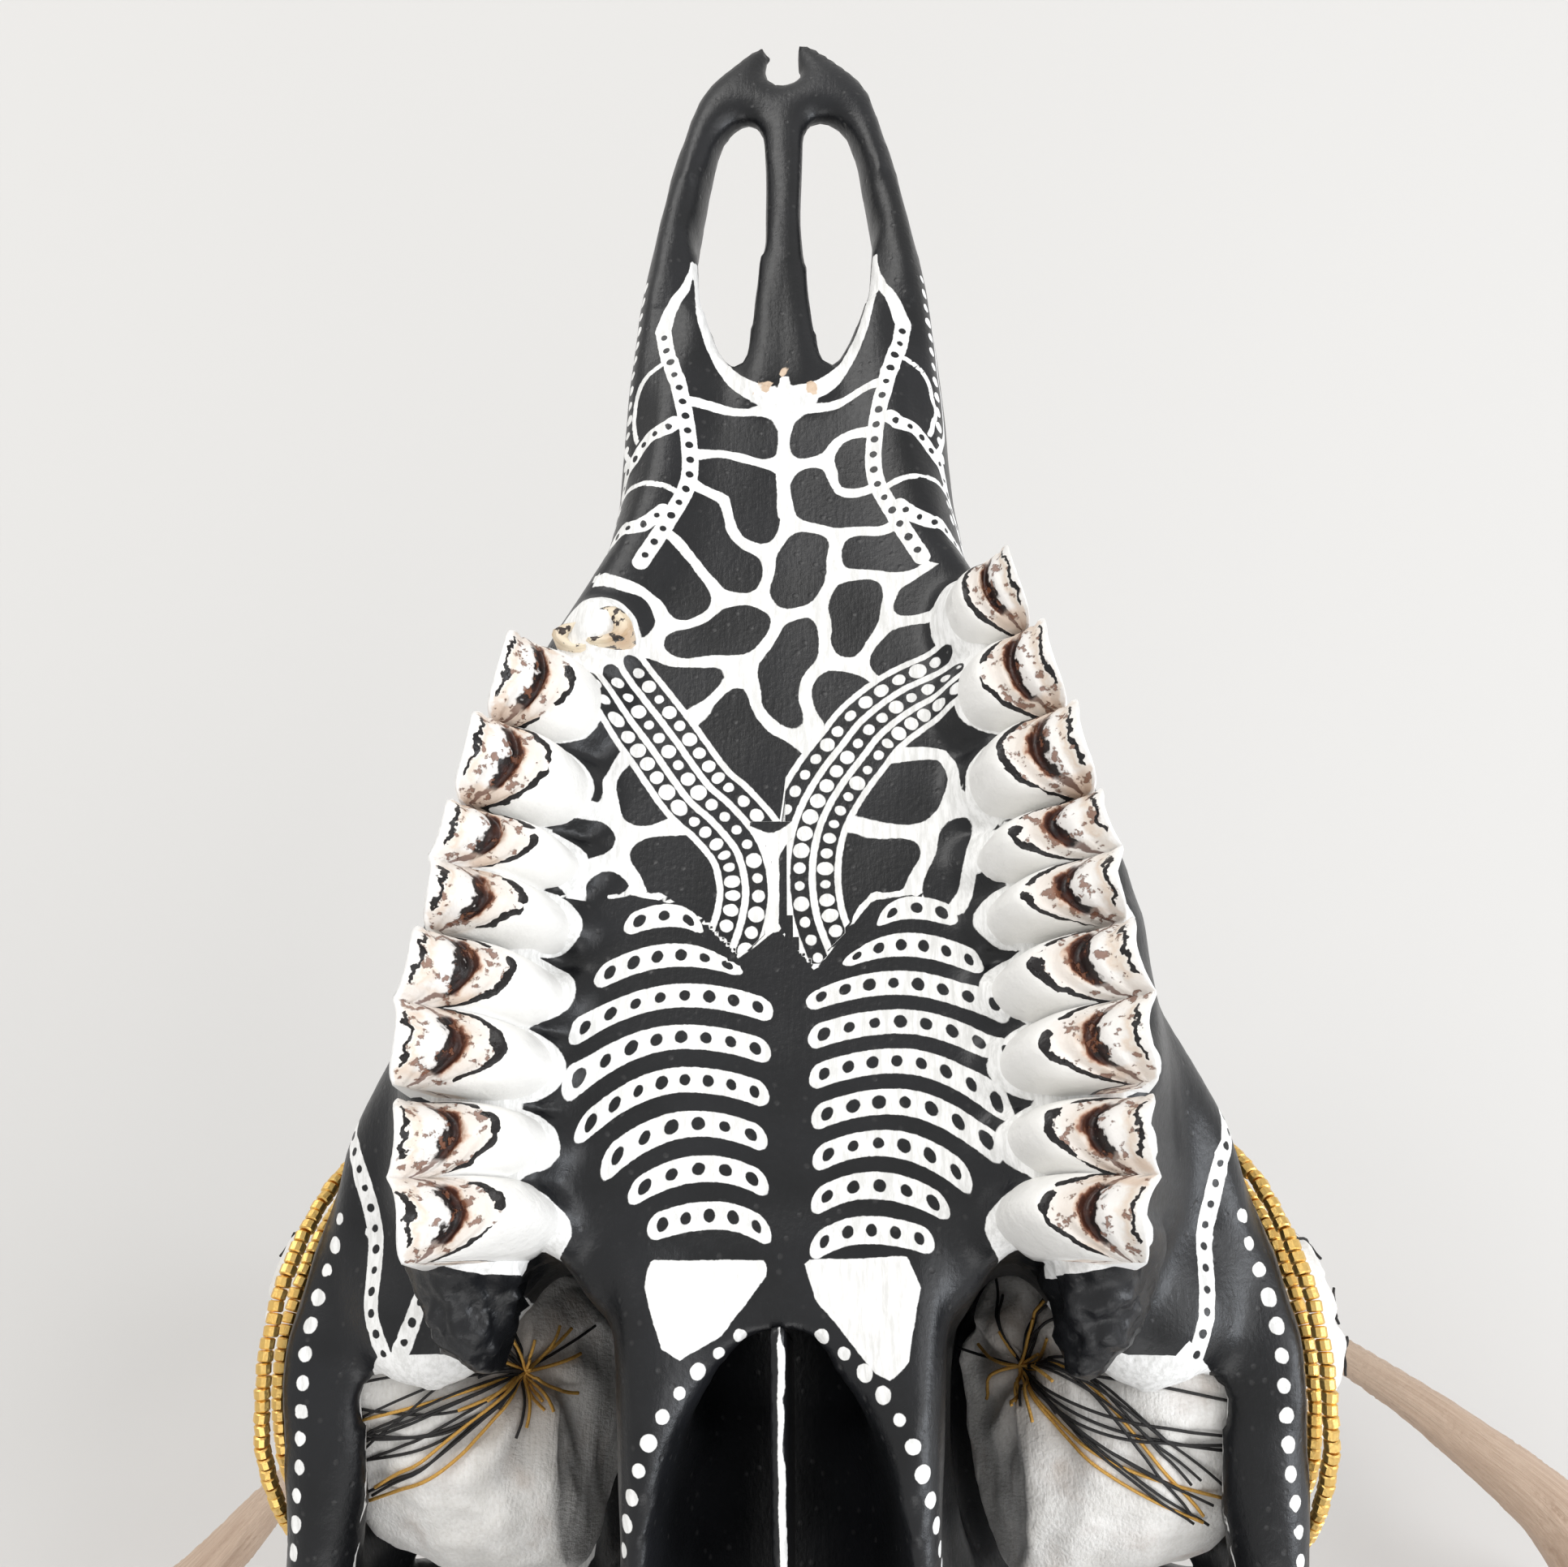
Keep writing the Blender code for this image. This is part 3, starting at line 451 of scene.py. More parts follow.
# %% [markdown]
# ## Shaping the bone
# The bone climbs a little up each tooth, crumples into a thin wall behind the
# last molar, and is never quite even. These are small moves of the vertices
# along their normals, with smooth noise for the uneven parts.

# %% Rims round the teeth, the crumpled wall and small openings
def tooth_distance(points):
    """Distance in the palate's plane to the nearest tooth, below 0 under it."""
    away = np.full(len(points), 99.0)
    for x, y, half_wide, half_long in tooth_places:
        reach = np.hypot((points[:, 0] - x) / half_wide, (points[:, 1] - y) / half_long)
        away = np.minimum(away, (reach - 1) * 0.5 * (half_wide + half_long))
    return away


# x, y and z of each small opening, its half width and its depth
HOLES = ((23, 30, 2.0, 1.5, 1.6), (-23, 31, 2.0, 1.5, 1.6), (38, 62, -30, 2.4, 3.0),
         (-38, 62, -30, 2.4, 3.0), (24, 62, -56, 1.6, 2.2), (-24, 62, -56, 1.6, 2.2))
CLIMB = 1.5                             # the bone's rise up a tooth
CRUMPLE = 2.6                           # the depth of the folds behind the last molar
UNEVEN = 0.22


def shape_bone(obj):
    points, facing = read(obj), read(obj, "normal")
    x, y, z = points.T
    near = tooth_distance(points)
    climb = CLIMB * np.exp(-(np.maximum(near, 0) / 1.5) ** 2) * (z > -8) * (facing[:, 2] > -0.2)
    side = np.abs(x)
    wall = np.exp(-(((side - 31) / 6) ** 2 + ((y + 1) / 7) ** 2 + ((z + 9) / 7) ** 2))
    crumple = np.zeros(len(points))
    rear = wall > 0.08
    crumple[rear] = rough(points[rear], 3.6, 4.0, 3) + 0.5 * rough(points[rear], 1.5, 2.0, 2)
    uneven = rough(points, 14.0, 9.0, 2) * UNEVEN
    move = (uneven + crumple * wall * CRUMPLE)[:, None] * facing
    move[:, 2] += climb
    for hole_x, hole_y, hole_z, wide, deep in HOLES:
        away = np.linalg.norm(points - np.array((hole_x, hole_y, hole_z)), axis=1)
        reach = away - away.min()
        move -= (deep * np.exp(-(reach / wide) ** 2))[:, None] * facing
    write(obj, points + move)


shape_bone(bone)
pick(bone)
bpy.ops.object.shade_smooth()

# %% [markdown]
# ## The painted ornament
# Dotted lines are laid on the bone as paths. Each vertex keeps its place along
# the nearest path, counted in dots, its distance from that path, and how far it
# lies beyond the path's end. The material turns those three numbers into crisp
# round dots, so the mesh can stay much coarser than the paint.

# %% Laying paths on the bone
surface = None


def lay(points):
    """Sample a path and drop it on the bone: from above where z is left out."""
    flat = len(points[0]) == 2
    line = smooth_line([(*p, 0) if flat else p for p in points], 0.4)
    spots, ups = [], []
    for p in line:
        if flat:
            hit = surface.ray_cast(place((p[0], p[1], 40)), Vector((0, 0, -1)))
        else:
            hit = surface.find_nearest(place(p))
        if hit[0] is not None:
            spots.append(np.array(hit[0]) / MM - SKULL)
            ups.append(np.array(hit[1]))
    return np.array(spots), np.array(ups)


def beside(obj, paths, apart=2.6):
    """Each vertex's place along the nearest path, its signed distance, and how far it lies
    beyond the path's end. Far from a path the distance grows steeply, so that its change of
    sign between two paths never shows. Paths that meet are kept in separate attributes.
    """
    points, facing = read(obj), read(obj, "normal")
    samples = []
    for number, (line, pitch) in enumerate(paths):
        spots, ups = lay(line)
        steps = np.linalg.norm(np.diff(spots, axis=0), axis=1)
        along = np.concatenate(([0], np.cumsum(steps)))
        count = max(1, round(along[-1] / pitch))
        heading = headings(spots)
        for i in range(len(spots)):
            samples.append((*spots[i], *heading[i], *ups[i], along[i], along[-1], count,
                            number * 100))
    samples = np.array(samples)
    tree = tree_of(samples[:, :3])
    found = samples[[tree.find(p)[1] for p in points]]
    offset = points - found[:, :3]
    ahead = (offset * found[:, 3:6]).sum(1)
    away = np.linalg.norm(offset - ahead[:, None] * found[:, 3:6], axis=1)
    away += 200 * np.maximum(0, away - apart)
    sideways = (np.cross(found[:, 3:6], found[:, 6:9]) * offset).sum(1)
    away *= np.where(sideways < 0, -1, 1)
    along = found[:, 9] + ahead
    beyond = np.maximum(-along, along - found[:, 10])
    beyond += 20 * ((facing * found[:, 6:9]).sum(1) < 0.1)
    return np.stack((along / found[:, 10] * found[:, 11] + found[:, 12], away, beyond), axis=1)


def near_line(points, line, start, end):
    """Above 0 within a plain stroke whose half width runs from start to end."""
    flat = len(line[0]) == 2
    line = smooth_line([(*p, 0) if flat else p for p in line], 0.3)
    tree = tree_of(line)
    found = [tree.find((p[0], p[1], 0) if flat else p)[1:] for p in points]
    number, away = np.array(found).T
    return start + (end - start) * number / len(line) - away

# %% [markdown]
# The palate's design: three black bands with white dots sweep from the front
# teeth to the midline. Behind them white arched bars with black dots cross the
# palate, and a string of white dots follows the rim of the inner nostrils.

# %% Where the palate's paint lies
MIDLINE = 0.3
PALATE_LOW = -14                        # the palate's paint stops below this
NO_PAINT, NO_STROKE = -9.0, 9           # a field's value where nothing is painted


def on_palate(points, facing):
    return (facing[:, 2] > 0.1) & (points[:, 2] > PALATE_LOW)


# %% The dotted bands: one curve and its two neighbours on each side
NET_EDGE = ((-26, 27.0), (-23.4, 36.8), (-19.2, 37.7), (-15.9, 38.3), (-11.4, 37.3), (-7.3, 34.3),
            (-4.2, 31.1), (-0.1, 34.4), (4.0, 29.6), (7.1, 33.7), (10.2, 37.3), (14.6, 37.9),
            (19.2, 35.3), (22.1, 31.2), (25, 27.0))
BAND_STEP = 2.8                         # from one dotted band to the next
BAND_DOT = 2.1                          # from one dot to the next
BANDS = {-1: [(19.6, 65.2), (14.2, 57.8), (9.6, 51.0), (6.6, 48.0), (3.7, 44.2), (2.5, 39.8),
              (2.7, 36), (3.8, 32.0)],
         1: [(19.6, 64.2), (14.5, 62.0), (10.3, 58.7), (8.0, 55.7), (5.5, 52.2), (3.4, 48.2),
             (2.3, 44.2), (2.0, 40.0), (2.5, 35.6), (3.9, 31.4)]}

# %% Each vertex's place on the nearest band
def band_field(obj):
    """Place along the middle curve in dots, signed distance from it, beyond its ends."""
    points = read(obj)
    field = np.zeros((len(points), 3))
    for side in (1, -1):
        own = (points[:, 0] >= MIDLINE) == (side > 0)
        p = np.column_stack(((points[own, 0] - MIDLINE) * side, points[own, 1]))
        line = smooth_line([(*q, 0) for q in BANDS[side]], 0.25)
        tree, line = tree_of(line), line[:, :2]
        along = np.concatenate(([0], np.cumsum(np.linalg.norm(np.diff(line, axis=0), axis=1))))
        heading = headings(line)
        near = np.array([tree.find((*q, 0))[1] for q in p])
        offset = p - line[near]
        ahead = (offset * heading[near]).sum(1)
        across = offset[:, 0] * heading[near, 1] - offset[:, 1] * heading[near, 0]
        place_on = along[near] + ahead
        # the ragged edge cuts the ends, and the inner band stops where the two sides meet
        beyond = np.maximum(-place_on, place_on - along[-1] - 4)
        inner = (across > 0.5 * BAND_STEP) & (p[:, 1] < 47.2)
        beyond = np.where(inner, NO_STROKE, beyond)
        # the sides are numbered apart, so that no two dots draw the same size
        field[own] = np.stack((place_on / BAND_DOT + 200 + 100 * side, across, beyond), axis=1)
    rear = points[:, 1] - np.interp(points[:, 0], *zip(*NET_EDGE))
    field[:, 2] = np.where(rear < 0.4, NO_STROKE, field[:, 2])
    field[:, 2] = np.where(on_palate(points, read(obj, "normal")), field[:, 2], NO_STROKE)
    return field

# %% The arched bars: one family a side, evenly stepped toward the rear
BAR_GAP = {-1: 4.46, 1: 4.14}           # from bar to bar, on the right and on the left
BAR_COUNT = {-1: 8, 1: 9}
BAR_DOT = 2.55                          # from one dot to the next
BAR_TOP = {-1: 34.9, 1: 35.4}           # y of the first bar
BAR_MIDDLE = 1.3                        # x between the two families
BAR_START = (9.6, 5.9, 2.0, 2.2, 2.3, 2.5, 2.6, 2.4, 2.2)    # from there to a bar's inner end
BAR_REACH = (8.0, 14.2, 20.4, 21.3, 20.0, 18.6, 15.4, 13.3, 11.9)   # and from end to end

# %% Each vertex's place on the nearest bar
def bar_field(obj):
    """Place along each bar in dots, steps down the family in mm, beyond a bar's ends."""
    points = read(obj)
    field = np.zeros((len(points), 3))
    for side in (1, -1):
        own = (points[:, 0] >= BAR_MIDDLE) == (side > 0)
        x, y = (points[own, 0] - BAR_MIDDLE) * side, points[own, 1]
        gap, count = BAR_GAP[side], BAR_COUNT[side]
        steps = np.linspace(0, count - 1, 9)
        step = (BAR_TOP[side] - y) / gap
        for _ in range(8):
            start = np.interp(step, steps, BAR_START)
            reach = np.interp(step, steps, BAR_REACH)
            s = np.clip((x - start) / reach, -0.1, 1.1)
            droop = 1.3 + 4.4 * np.sin(np.pi * np.clip(step / (count - 1), 0, 1)) ** 1.4
            fall = ((s - 0.43) / np.where(s < 0.43, 0.43, 0.57)) ** 2
            lift = 1.2 - np.where(s < 0.43, 1.7, droop) * fall
            step = (BAR_TOP[side] + lift - y) / gap
        number = np.clip(np.round(step), 0, count - 1)
        start, reach = np.interp(number, steps, BAR_START), np.interp(number, steps, BAR_REACH)
        dots_on = np.maximum(1, np.round(reach / BAR_DOT))
        along = (x - start) / reach * dots_on
        beyond = np.maximum(start + 1.0 - x, x - start - reach + 1.0)
        beyond = np.where((step < -0.5) | (step > count - 0.5), NO_STROKE, beyond)
        field[own] = np.stack((along + 40 * number + 500 * (side + 1), step * gap, beyond), axis=1)
    field[:, 2] = np.where(on_palate(points, read(obj, "normal")), field[:, 2], NO_STROKE)
    return field, np.where(points[:, 0] < BAR_MIDDLE, BAR_GAP[-1], BAR_GAP[1])

# %% The strings of dots round the inner nostrils
rims = []
for side in (1, -1):
    line = [(3.0, -5.6), (8.0, -9.6), (11.8, -14.6), (14.2, -20.4), (15.4, -27), (15.6, -37)]
    rims.append(([(MIDLINE + side * x, y) for x, y in line], 2.75))

# %% [markdown]
# On the sides, where the photograph sees little or nothing, the same few ideas
# go on: white ribbons with dark dots along the ridges, strings of white dots on
# the cheek bars, round the eye sockets, on the nose and over the forehead.

# %% The lines of the sides and the top
ribbons, branches, strings, plain_lines = [], [], list(rims), []
for side in (1, -1):
    def over(*points):
        return [(side * x, y, z) for x, y, z in points]
    ribbons += [
        (over((15.2, 116.5, -2.5), (13.4, 108, -1), (11.6, 99.5, 0), (11.4, 93, 0), (13.8, 87, 0),
              (17.0, 81, -1)), 2.2),
        (over((38.6, 52, -14), (41.2, 42, -15), (43.6, 33, -17), (45.6, 20.5, -18),
              (46.2, 13, -17), (45.4, 5.6, -16), (44.0, -2, -17), (42.4, -7.4, -18)), 2.3),
        (over((20.5, 113, -15), (25, 90, -19), (32, 70, -21), (39, 52, -22), (45, 38, -24)), 2.6),
        (over((15.5, 104, -34), (19.5, 80, -43), (22.5, 55, -53), (25, 38, -60)), 2.6),
        (over((12, 6, -74), (20, -8, -77), (22, -24, -80), (14, -36, -83)), 2.8)]
    branches += [
        (over((13.6, 101.5, -1), (16.4, 98, -4), (18.8, 93, -6), (21.0, 87, -9)), 2.1),
        (over((14.6, 88.4, -1), (18.0, 85, -3), (21.4, 80.4, -6), (24.4, 75.8, -9)), 2.0)]
    strings += [
        (over((51.2, 8, -15), (52.8, 0, -16), (53.0, -7.4, -17), (53.4, -13, -18),
              (54.6, -19, -20), (55.8, -27, -23), (55.4, -36, -27), (53.4, -48, -33)), 3.0),
        (over((18.6, 126, -1.5), (19.8, 118, -2), (20.5, 111, -2.5), (20.8, 104, -3),
              (21.4, 96, -3.5), (22.2, 88, -4)), 2.3),
        (over((41, 22, -68), (46, 10, -70), (48, -8, -72), (47, -22, -73), (43, -33, -75)), 3.0),
        (over((34, -58, -36), (38, -68, -50), (35, -80, -62), (24, -90, -72)), 3.2),
        (over((5, 122, -34), (7, 95, -43), (8, 65, -54), (8, 35, -62), (6, 18, -67)), 2.7)]
    plain_lines += [
        (over((45.0, 8, -20), (45.8, -2, -22), (45.3, -13, -24), (46.6, -24, -27),
              (49.2, -34, -31)), 0.4, 0.3),
        (over((17.8, 123, -4), (18.8, 112, -5), (19.6, 104, -6), (18.0, 98, -4)), 0.4, 0.5),
        (over((11.9, 128.5, -1), (13.6, 123, -2), (15.2, 116.5, -2.5)), 0.3, 1.1),
        (over((14.6, 111, -2), (17.0, 109, -3), (17.8, 104, -4), (16.8, 99.6, -4)), 0.4, 0.4),
        (over((12.6, 91, -1), (14.6, 92, -2), (16.8, 92.6, -4), (19.0, 92.4, -6)), 0.45, 0.4),
        (over((18.6, 84.4, -4), (21.8, 84, -7), (23.4, 80.6, -10), (24.4, 76, -10)), 0.35, 0.45)]
branches.append(([(-38.6, 3.2, -12), (-38.2, -0.6, -13), (-39.4, -3.6, -15),
                  (-40.9, -6.4, -17)], 2.3))
strings.append(([(0, 10, -70), (0, -15, -77), (0, -40, -83), (0, -62, -84), (0, -84, -78)], 3.4))

# %% All the lines, stored on the bone
surface = surface_of(bone)
store(bone, "bands", band_field(bone))
bars, bar_gap = bar_field(bone)
store(bone, "bars", bars)
store(bone, "bar_gap", bar_gap)
for name, lines in (("ribbons", ribbons), ("branches", branches), ("strings", strings)):
    store(bone, name, beside(bone, lines))
print("dotted lines on the sides:", len(ribbons) + len(branches) + len(strings))

# %% [markdown]
# The net of white lines is the border between rounded cells. For each vertex
# the distance to the border between its own cell and each other cell is mixed
# softly, which rounds the corners as a brush does. A cell's middle is a short
# line, so cells are long or bent as well as round.

# %% Distances to cells and outlines
def cell_edge(away, soft):
    """Distance from the nearest border, from the distance to each cell's middle."""
    rows = np.arange(len(away))
    own = away.argmin(1)
    gap = (away - away[rows, own][:, None]) / 2
    gap[rows, own] = 99.0
    return -soft * np.log(np.exp(-gap / soft).sum(1))


def to_middles(points, cells):
    """Distance from each point to each cell's middle, which is a short line."""
    table = np.empty((len(points), len(cells)))
    for number, cell in enumerate(cells):
        away = np.full(len(points), 999.0)
        for a, b in zip(cell, cell[1:]):
            a, b = np.array(a, float), np.array(b, float)
            along = np.clip((points - a) @ (b - a) / ((b - a) @ (b - a) + 1e-9), 0, 1)
            away = np.minimum(away, np.linalg.norm(points - a - along[:, None] * (b - a), axis=1))
        table[:, number] = away
    return table


def inside(points, outline):
    """Distance in the palate's plane to an outline, above 0 inside it."""
    outline = np.array(outline, float)
    p = points[:, :2]
    away, crossings = np.full(len(p), 99.0), np.zeros(len(p), int)
    for a, b in zip(outline, np.roll(outline, -1, axis=0)):
        along = np.clip(((p - a) @ (b - a)) / ((b - a) @ (b - a)), 0, 1)
        away = np.minimum(away, np.linalg.norm(p - a - along[:, None] * (b - a), axis=1))
        spans = (a[1] > p[:, 1]) != (b[1] > p[:, 1])
        cut = a[0] + (p[:, 1] - a[1]) * (b[0] - a[0]) / (b[1] - a[1] + 1e-12)
        crossings += spans & (p[:, 0] < cut)
    return np.where(crossings % 2 == 1, away, -away)


# %% The cells' middles, from the midline outward and toward the snout
CELLS = {
    -1: [[(6.0, 107.6), (11.0, 111.5), (13.6, 117.5), (14.6, 127)], [(8.4, 100.6), (2.6, 98.6)],
         [(7.6, 94.6), (3.2, 93.4), (4.0, 86.6)], [(10.6, 88.6), (4.6, 79.6)],
         [(15.4, 80.6), (11.4, 75.4)], [(17.6, 73.6), (19.4, 70.6)],
         [(11.6, 69.8), (4.6, 73.0)], [(18.4, 66.2), (9.4, 64.8)],
         [(5.8, 61.6), (3.4, 55.6)], [(21.8, 58.6), (21.4, 50.4)], [(16.8, 51.4), (15.8, 48.8)],
         [(20.6, 44.8), (23.4, 41.6)], [(14.6, 42.8), (11.8, 39.8)], [(18.6, 39.2), (19.2, 38.6)],
         [(24.6, 37.0), (25.8, 27.6)]],
    1: [[(6.0, 107.6), (11.0, 111.5), (13.6, 117.5), (14.6, 127)], [(10.2, 103.0), (2.6, 98.4)],
        [(8.4, 97.6), (8.6, 93.6)], [(3.4, 93.2), (4.6, 89.0), (10.8, 88.2)], [(15.0, 81.8), (9.4, 82.6)],
        [(3.0, 83.6), (0.4, 78.0)], [(19.4, 77.4), (15.2, 75.0)], [(9.8, 76.4), (7.4, 70.6)],
        [(15.2, 70.2), (12.8, 67.6)], [(2.4, 70.4), (-0.4, 62.4)], [(5.0, 64.0), (7.6, 63.0)],
        [(16.2, 58.2), (20.6, 57.0), (22.0, 50.6)], [(16.4, 51.8), (14.2, 48.2)],
        [(13.6, 42.8), (9.8, 39.8)], [(19.4, 44.2), (17.4, 40.4)], [(22.8, 42.4), (23.4, 34.8)]]}
NET_CELLS = [[(MIDLINE + side * x, y) for x, y in cell] for side in CELLS for cell in CELLS[side]]


def scattered(low, high, step, seed):
    """Cell middles through a block of space, evenly but not in rows."""
    draw = random.Random(seed)
    spots = []
    for x in np.arange(low[0], high[0], step):
        for y in np.arange(low[1], high[1], step):
            for z in np.arange(low[2], high[2], step):
                spot = [c + draw.uniform(-0.38, 0.38) * step for c in (x, y, z)]
                spots.append([spot, [c + draw.uniform(-3, 3) for c in spot]])
    return spots


SIDE_CELLS = scattered((-50, -45, -95), (50, 130, -5), 12.5, 8)
print("cells:", len(NET_CELLS), "on the palate,", len(SIDE_CELLS), "through the sides and the top")

# %% Outlines of the white patches, the socket's floor and the net's edges
PATCHES = ([(-12.7, 0.6), (-1.2, 0.8), (-0.9, -0.6), (-5.4, -6.2), (-9.6, -8.8), (-11.4, -7.8),
            (-13.2, -2.1)],
           [(2.5, 0.8), (12.9, 0.9), (14.2, -2.0), (12.8, -9.0), (11.0, -10.5), (9.4, -9.8),
            (3.8, -3.0)])
SOCKET_FLOOR = [(27.0, -1.5), (33, -1.2), (38, -2.4), (42.5, -6.0), (45.5, -9), (46, -15),
                (40, -15.5), (27, -12.5)]
SLOT_RIM = [(0.2, 105.2), (4.0, 106.3), (7.0, 109.4), (9.5, 114.2), (10.9, 119.3), (11.6, 124),
            (11.9, 128.5)]
NET_SIDE = ((80, 17.5), (87, 14.2), (93, 11.8), (99.5, 12.0), (108, 13.8), (120, 15.9))
NET_LINE = ((40, 0.72), (100, 0.6), (122, 0.5))            # half width of its lines along y
GUM_LINE = ((20, 0.6), (34, 0.7), (44, 0.1), (60, 0.1), (68, 1.5))   # white round the teeth
BARE_SPOTS = ((-2.6, 107.0, 0.5), (3.8, 106.6, 0.5), (0.3, 108.6, 0.3))


# %% The net on the palate
def paint_net(points, below, wobble):
    """The net, which ends on the snout and in a ragged edge behind, and the slots' rims."""
    x, y = points[:, 0], points[:, 1]
    ground = np.full(len(points), NO_PAINT)
    rear = y - np.interp(x, *zip(*NET_EDGE))
    chosen = below & (y > 28) & (y < 140)
    ahead, out = y[chosen], np.abs(x[chosen] - MIDLINE)
    edge = cell_edge(to_middles(points[chosen][:, :2], NET_CELLS), 0.5)
    line = np.interp(ahead, *zip(*NET_LINE)) + 0.2 * wobble[chosen]
    net = np.minimum(line - edge, np.minimum(rear[chosen] - 0.2, np.maximum(108 - ahead, out - 8)))
    ground[chosen] = np.minimum(net, np.interp(ahead, *zip(*NET_SIDE)) - out)
    between_teeth = (ahead < 80) & (out < np.where(ahead < 64, 28, 23))
    ground[chosen] = np.where(between_teeth, net, ground[chosen])
    ragged = 0.34 - np.abs(rear - 0.45 - 0.5 * wobble) + 0.3 * wobble
    ground = np.where(below & (np.abs(x) < 19), np.maximum(ground, ragged), ground)
    snout = below & (y > 100)
    mirrored = np.column_stack((np.abs(x[snout] - MIDLINE), y[snout]))
    rim = near_line(mirrored, SLOT_RIM, 1.2, 0.3) + 0.1 * wobble[snout]
    ground[snout] = np.maximum(ground[snout], rim)
    return ground


# %% Gums, patches, the sockets' floors, the sides and the forehead
def paint_patches(ground, points, below, wobble):
    x, y, z = points.T
    gum = np.interp(y, *zip(*GUM_LINE)) + 0.2 * wobble - tooth_distance(points)
    ground = np.where(z > -7, np.maximum(ground, gum), ground)
    for outline in PATCHES:
        ground = np.where(below, np.maximum(ground, inside(points, outline) + 0.15 * wobble), ground)
    floor_of_socket = inside(np.column_stack((np.abs(x), y)), SOCKET_FLOOR) + 0.3 * wobble
    return np.where((z < -15.5) & (z > -40), np.maximum(ground, floor_of_socket), ground)


def paint_sides(ground, points, below, wobble):
    x, y, z = points.T
    snout = np.minimum(np.minimum(104 - y, y - 30), np.minimum(-18 - z, z + 58))
    snout = np.minimum(snout, np.abs(x) - 11)
    brow = np.minimum(np.minimum(22 - y, y + 34), -62 - z) + 4 * (np.abs(x) < 34) - 4
    chosen = ~below & (np.maximum(snout, brow) > 0)
    ground[chosen] = 0.5 + 0.1 * wobble[chosen] - cell_edge(to_middles(points[chosen], SIDE_CELLS), 0.35)
    for line, start, end in plain_lines:
        spots = lay(line)[0]
        close = np.abs(points - spots.mean(0)).max(1) < 30
        ground[close] = np.maximum(ground[close], near_line(points[close], list(spots[::3]), start, end))
    return ground


points = read(bone)
below = on_palate(points, read(bone, "normal"))
wobble = rough(points, 3.4, 2.0, 2)
ground = paint_net(points, below, wobble)
ground = paint_patches(ground, points, below, wobble)
ground = paint_sides(ground, points, below, wobble)
store(bone, "ground", ground)
print("white share of the bone:", round(float((ground > 0).mean()), 3))

# %% Bare bone at the slots' rear, and the line down the snout
bare = np.full(len(points), NO_PAINT)
frayed = rough(points, 1.1, 7.0, 2)
for x, y, reach in BARE_SPOTS:
    away = np.hypot(points[:, 0] - x, points[:, 1] - y)
    bare = np.maximum(bare, np.where(points[:, 2] > -18, reach - away + 1.3 * frayed + 0.4, NO_PAINT))
store(bone, "bare", bare)
middle = 0.55 + 0.2 * wobble - np.abs(points[:, 0] - MIDLINE - 0.5 * np.sin(points[:, 1] / 5.5))
middle = np.minimum(middle, np.minimum(106.5 - points[:, 1], points[:, 1] - 88))
store(bone, "midline", np.where(points[:, 2] > -12, middle, NO_PAINT))

# %% [markdown]
# ## Paint, enamel, antler, cloth and gold
# A material is a small tree of nodes. A few helpers keep the trees short, and
# what several finishes share, such as grain and brush streaks, is a node group.

# %% Helpers for node trees
def feed(tree, socket, source):
    if isinstance(source, bpy.types.NodeSocket):
        tree.links.new(source, socket)
    elif source is not None:
        socket.default_value = source


def add_node(tree, kind, *sources, **settings):
    made = tree.nodes.new("ShaderNode" + kind)
    for name, value in settings.items():
        setattr(made, name, value)
    for socket, source in zip(made.inputs, sources):
        feed(tree, socket, source)
    return made


def calc(tree, operation, *sources):
    return add_node(tree, "Math", *sources, operation=operation).outputs[0]


def rise(tree, value, low, high, bottom=0.0, top=1.0):
    """From bottom at low to top at high, smoothly."""
    return add_node(tree, "MapRange", value, low, high, bottom, top,
                    interpolation_type="SMOOTHSTEP").outputs[0]


def blend(tree, mask, under, over):
    made = add_node(tree, "Mix", mask, data_type="RGBA")
    feed(tree, made.inputs[6], under)
    feed(tree, made.inputs[7], over)
    return made.outputs[2]


def tone(red, green, blue):
    """A screen colour, 0 to 255, as the shader wants it."""
    return (*(((c / 255 + 0.055) / 1.055) ** 2.4 for c in (red, green, blue)), 1.0)

# %% Helpers for groups and materials
def new_group(name, inputs, outputs):
    tree = bpy.data.node_groups.new(name, "ShaderNodeTree")
    for label, kind, value in inputs:
        socket = tree.interface.new_socket(label, in_out="INPUT", socket_type="NodeSocket" + kind)
        if value is not None:
            socket.default_value = value
    for label, kind in outputs:
        tree.interface.new_socket(label, in_out="OUTPUT", socket_type="NodeSocket" + kind)
    return tree, tree.nodes.new("NodeGroupInput").outputs, tree.nodes.new("NodeGroupOutput").inputs


def use(tree, group, **values):
    made = add_node(tree, "Group", node_tree=group)
    for name, source in values.items():
        feed(tree, made.inputs[name.replace("_", " ")], source)
    return made.outputs


def attribute(tree, name):
    """An attribute's number and its three numbers together."""
    made = add_node(tree, "Attribute", attribute_name=name)
    return made.outputs["Fac"], made.outputs["Vector"]


def new_material(name, **sockets):
    """A material whose shader has these values all over."""
    made = bpy.data.materials.new(name)
    made.use_nodes = True
    tree = made.node_tree
    shader = tree.nodes["Principled BSDF"]
    for label, value in sockets.items():
        shader.inputs[label.replace("_", " ")].default_value = value
    return made, tree, shader


def raise_surface(tree, shader, height, strength=1.0):
    """Height in millimetres, felt by the light only."""
    bump = add_node(tree, "Bump")
    bump.inputs["Strength"].default_value = strength
    bump.inputs["Distance"].default_value = MM
    feed(tree, bump.inputs["Height"], height)
    feed(tree, shader.inputs["Normal"], bump.outputs[0])


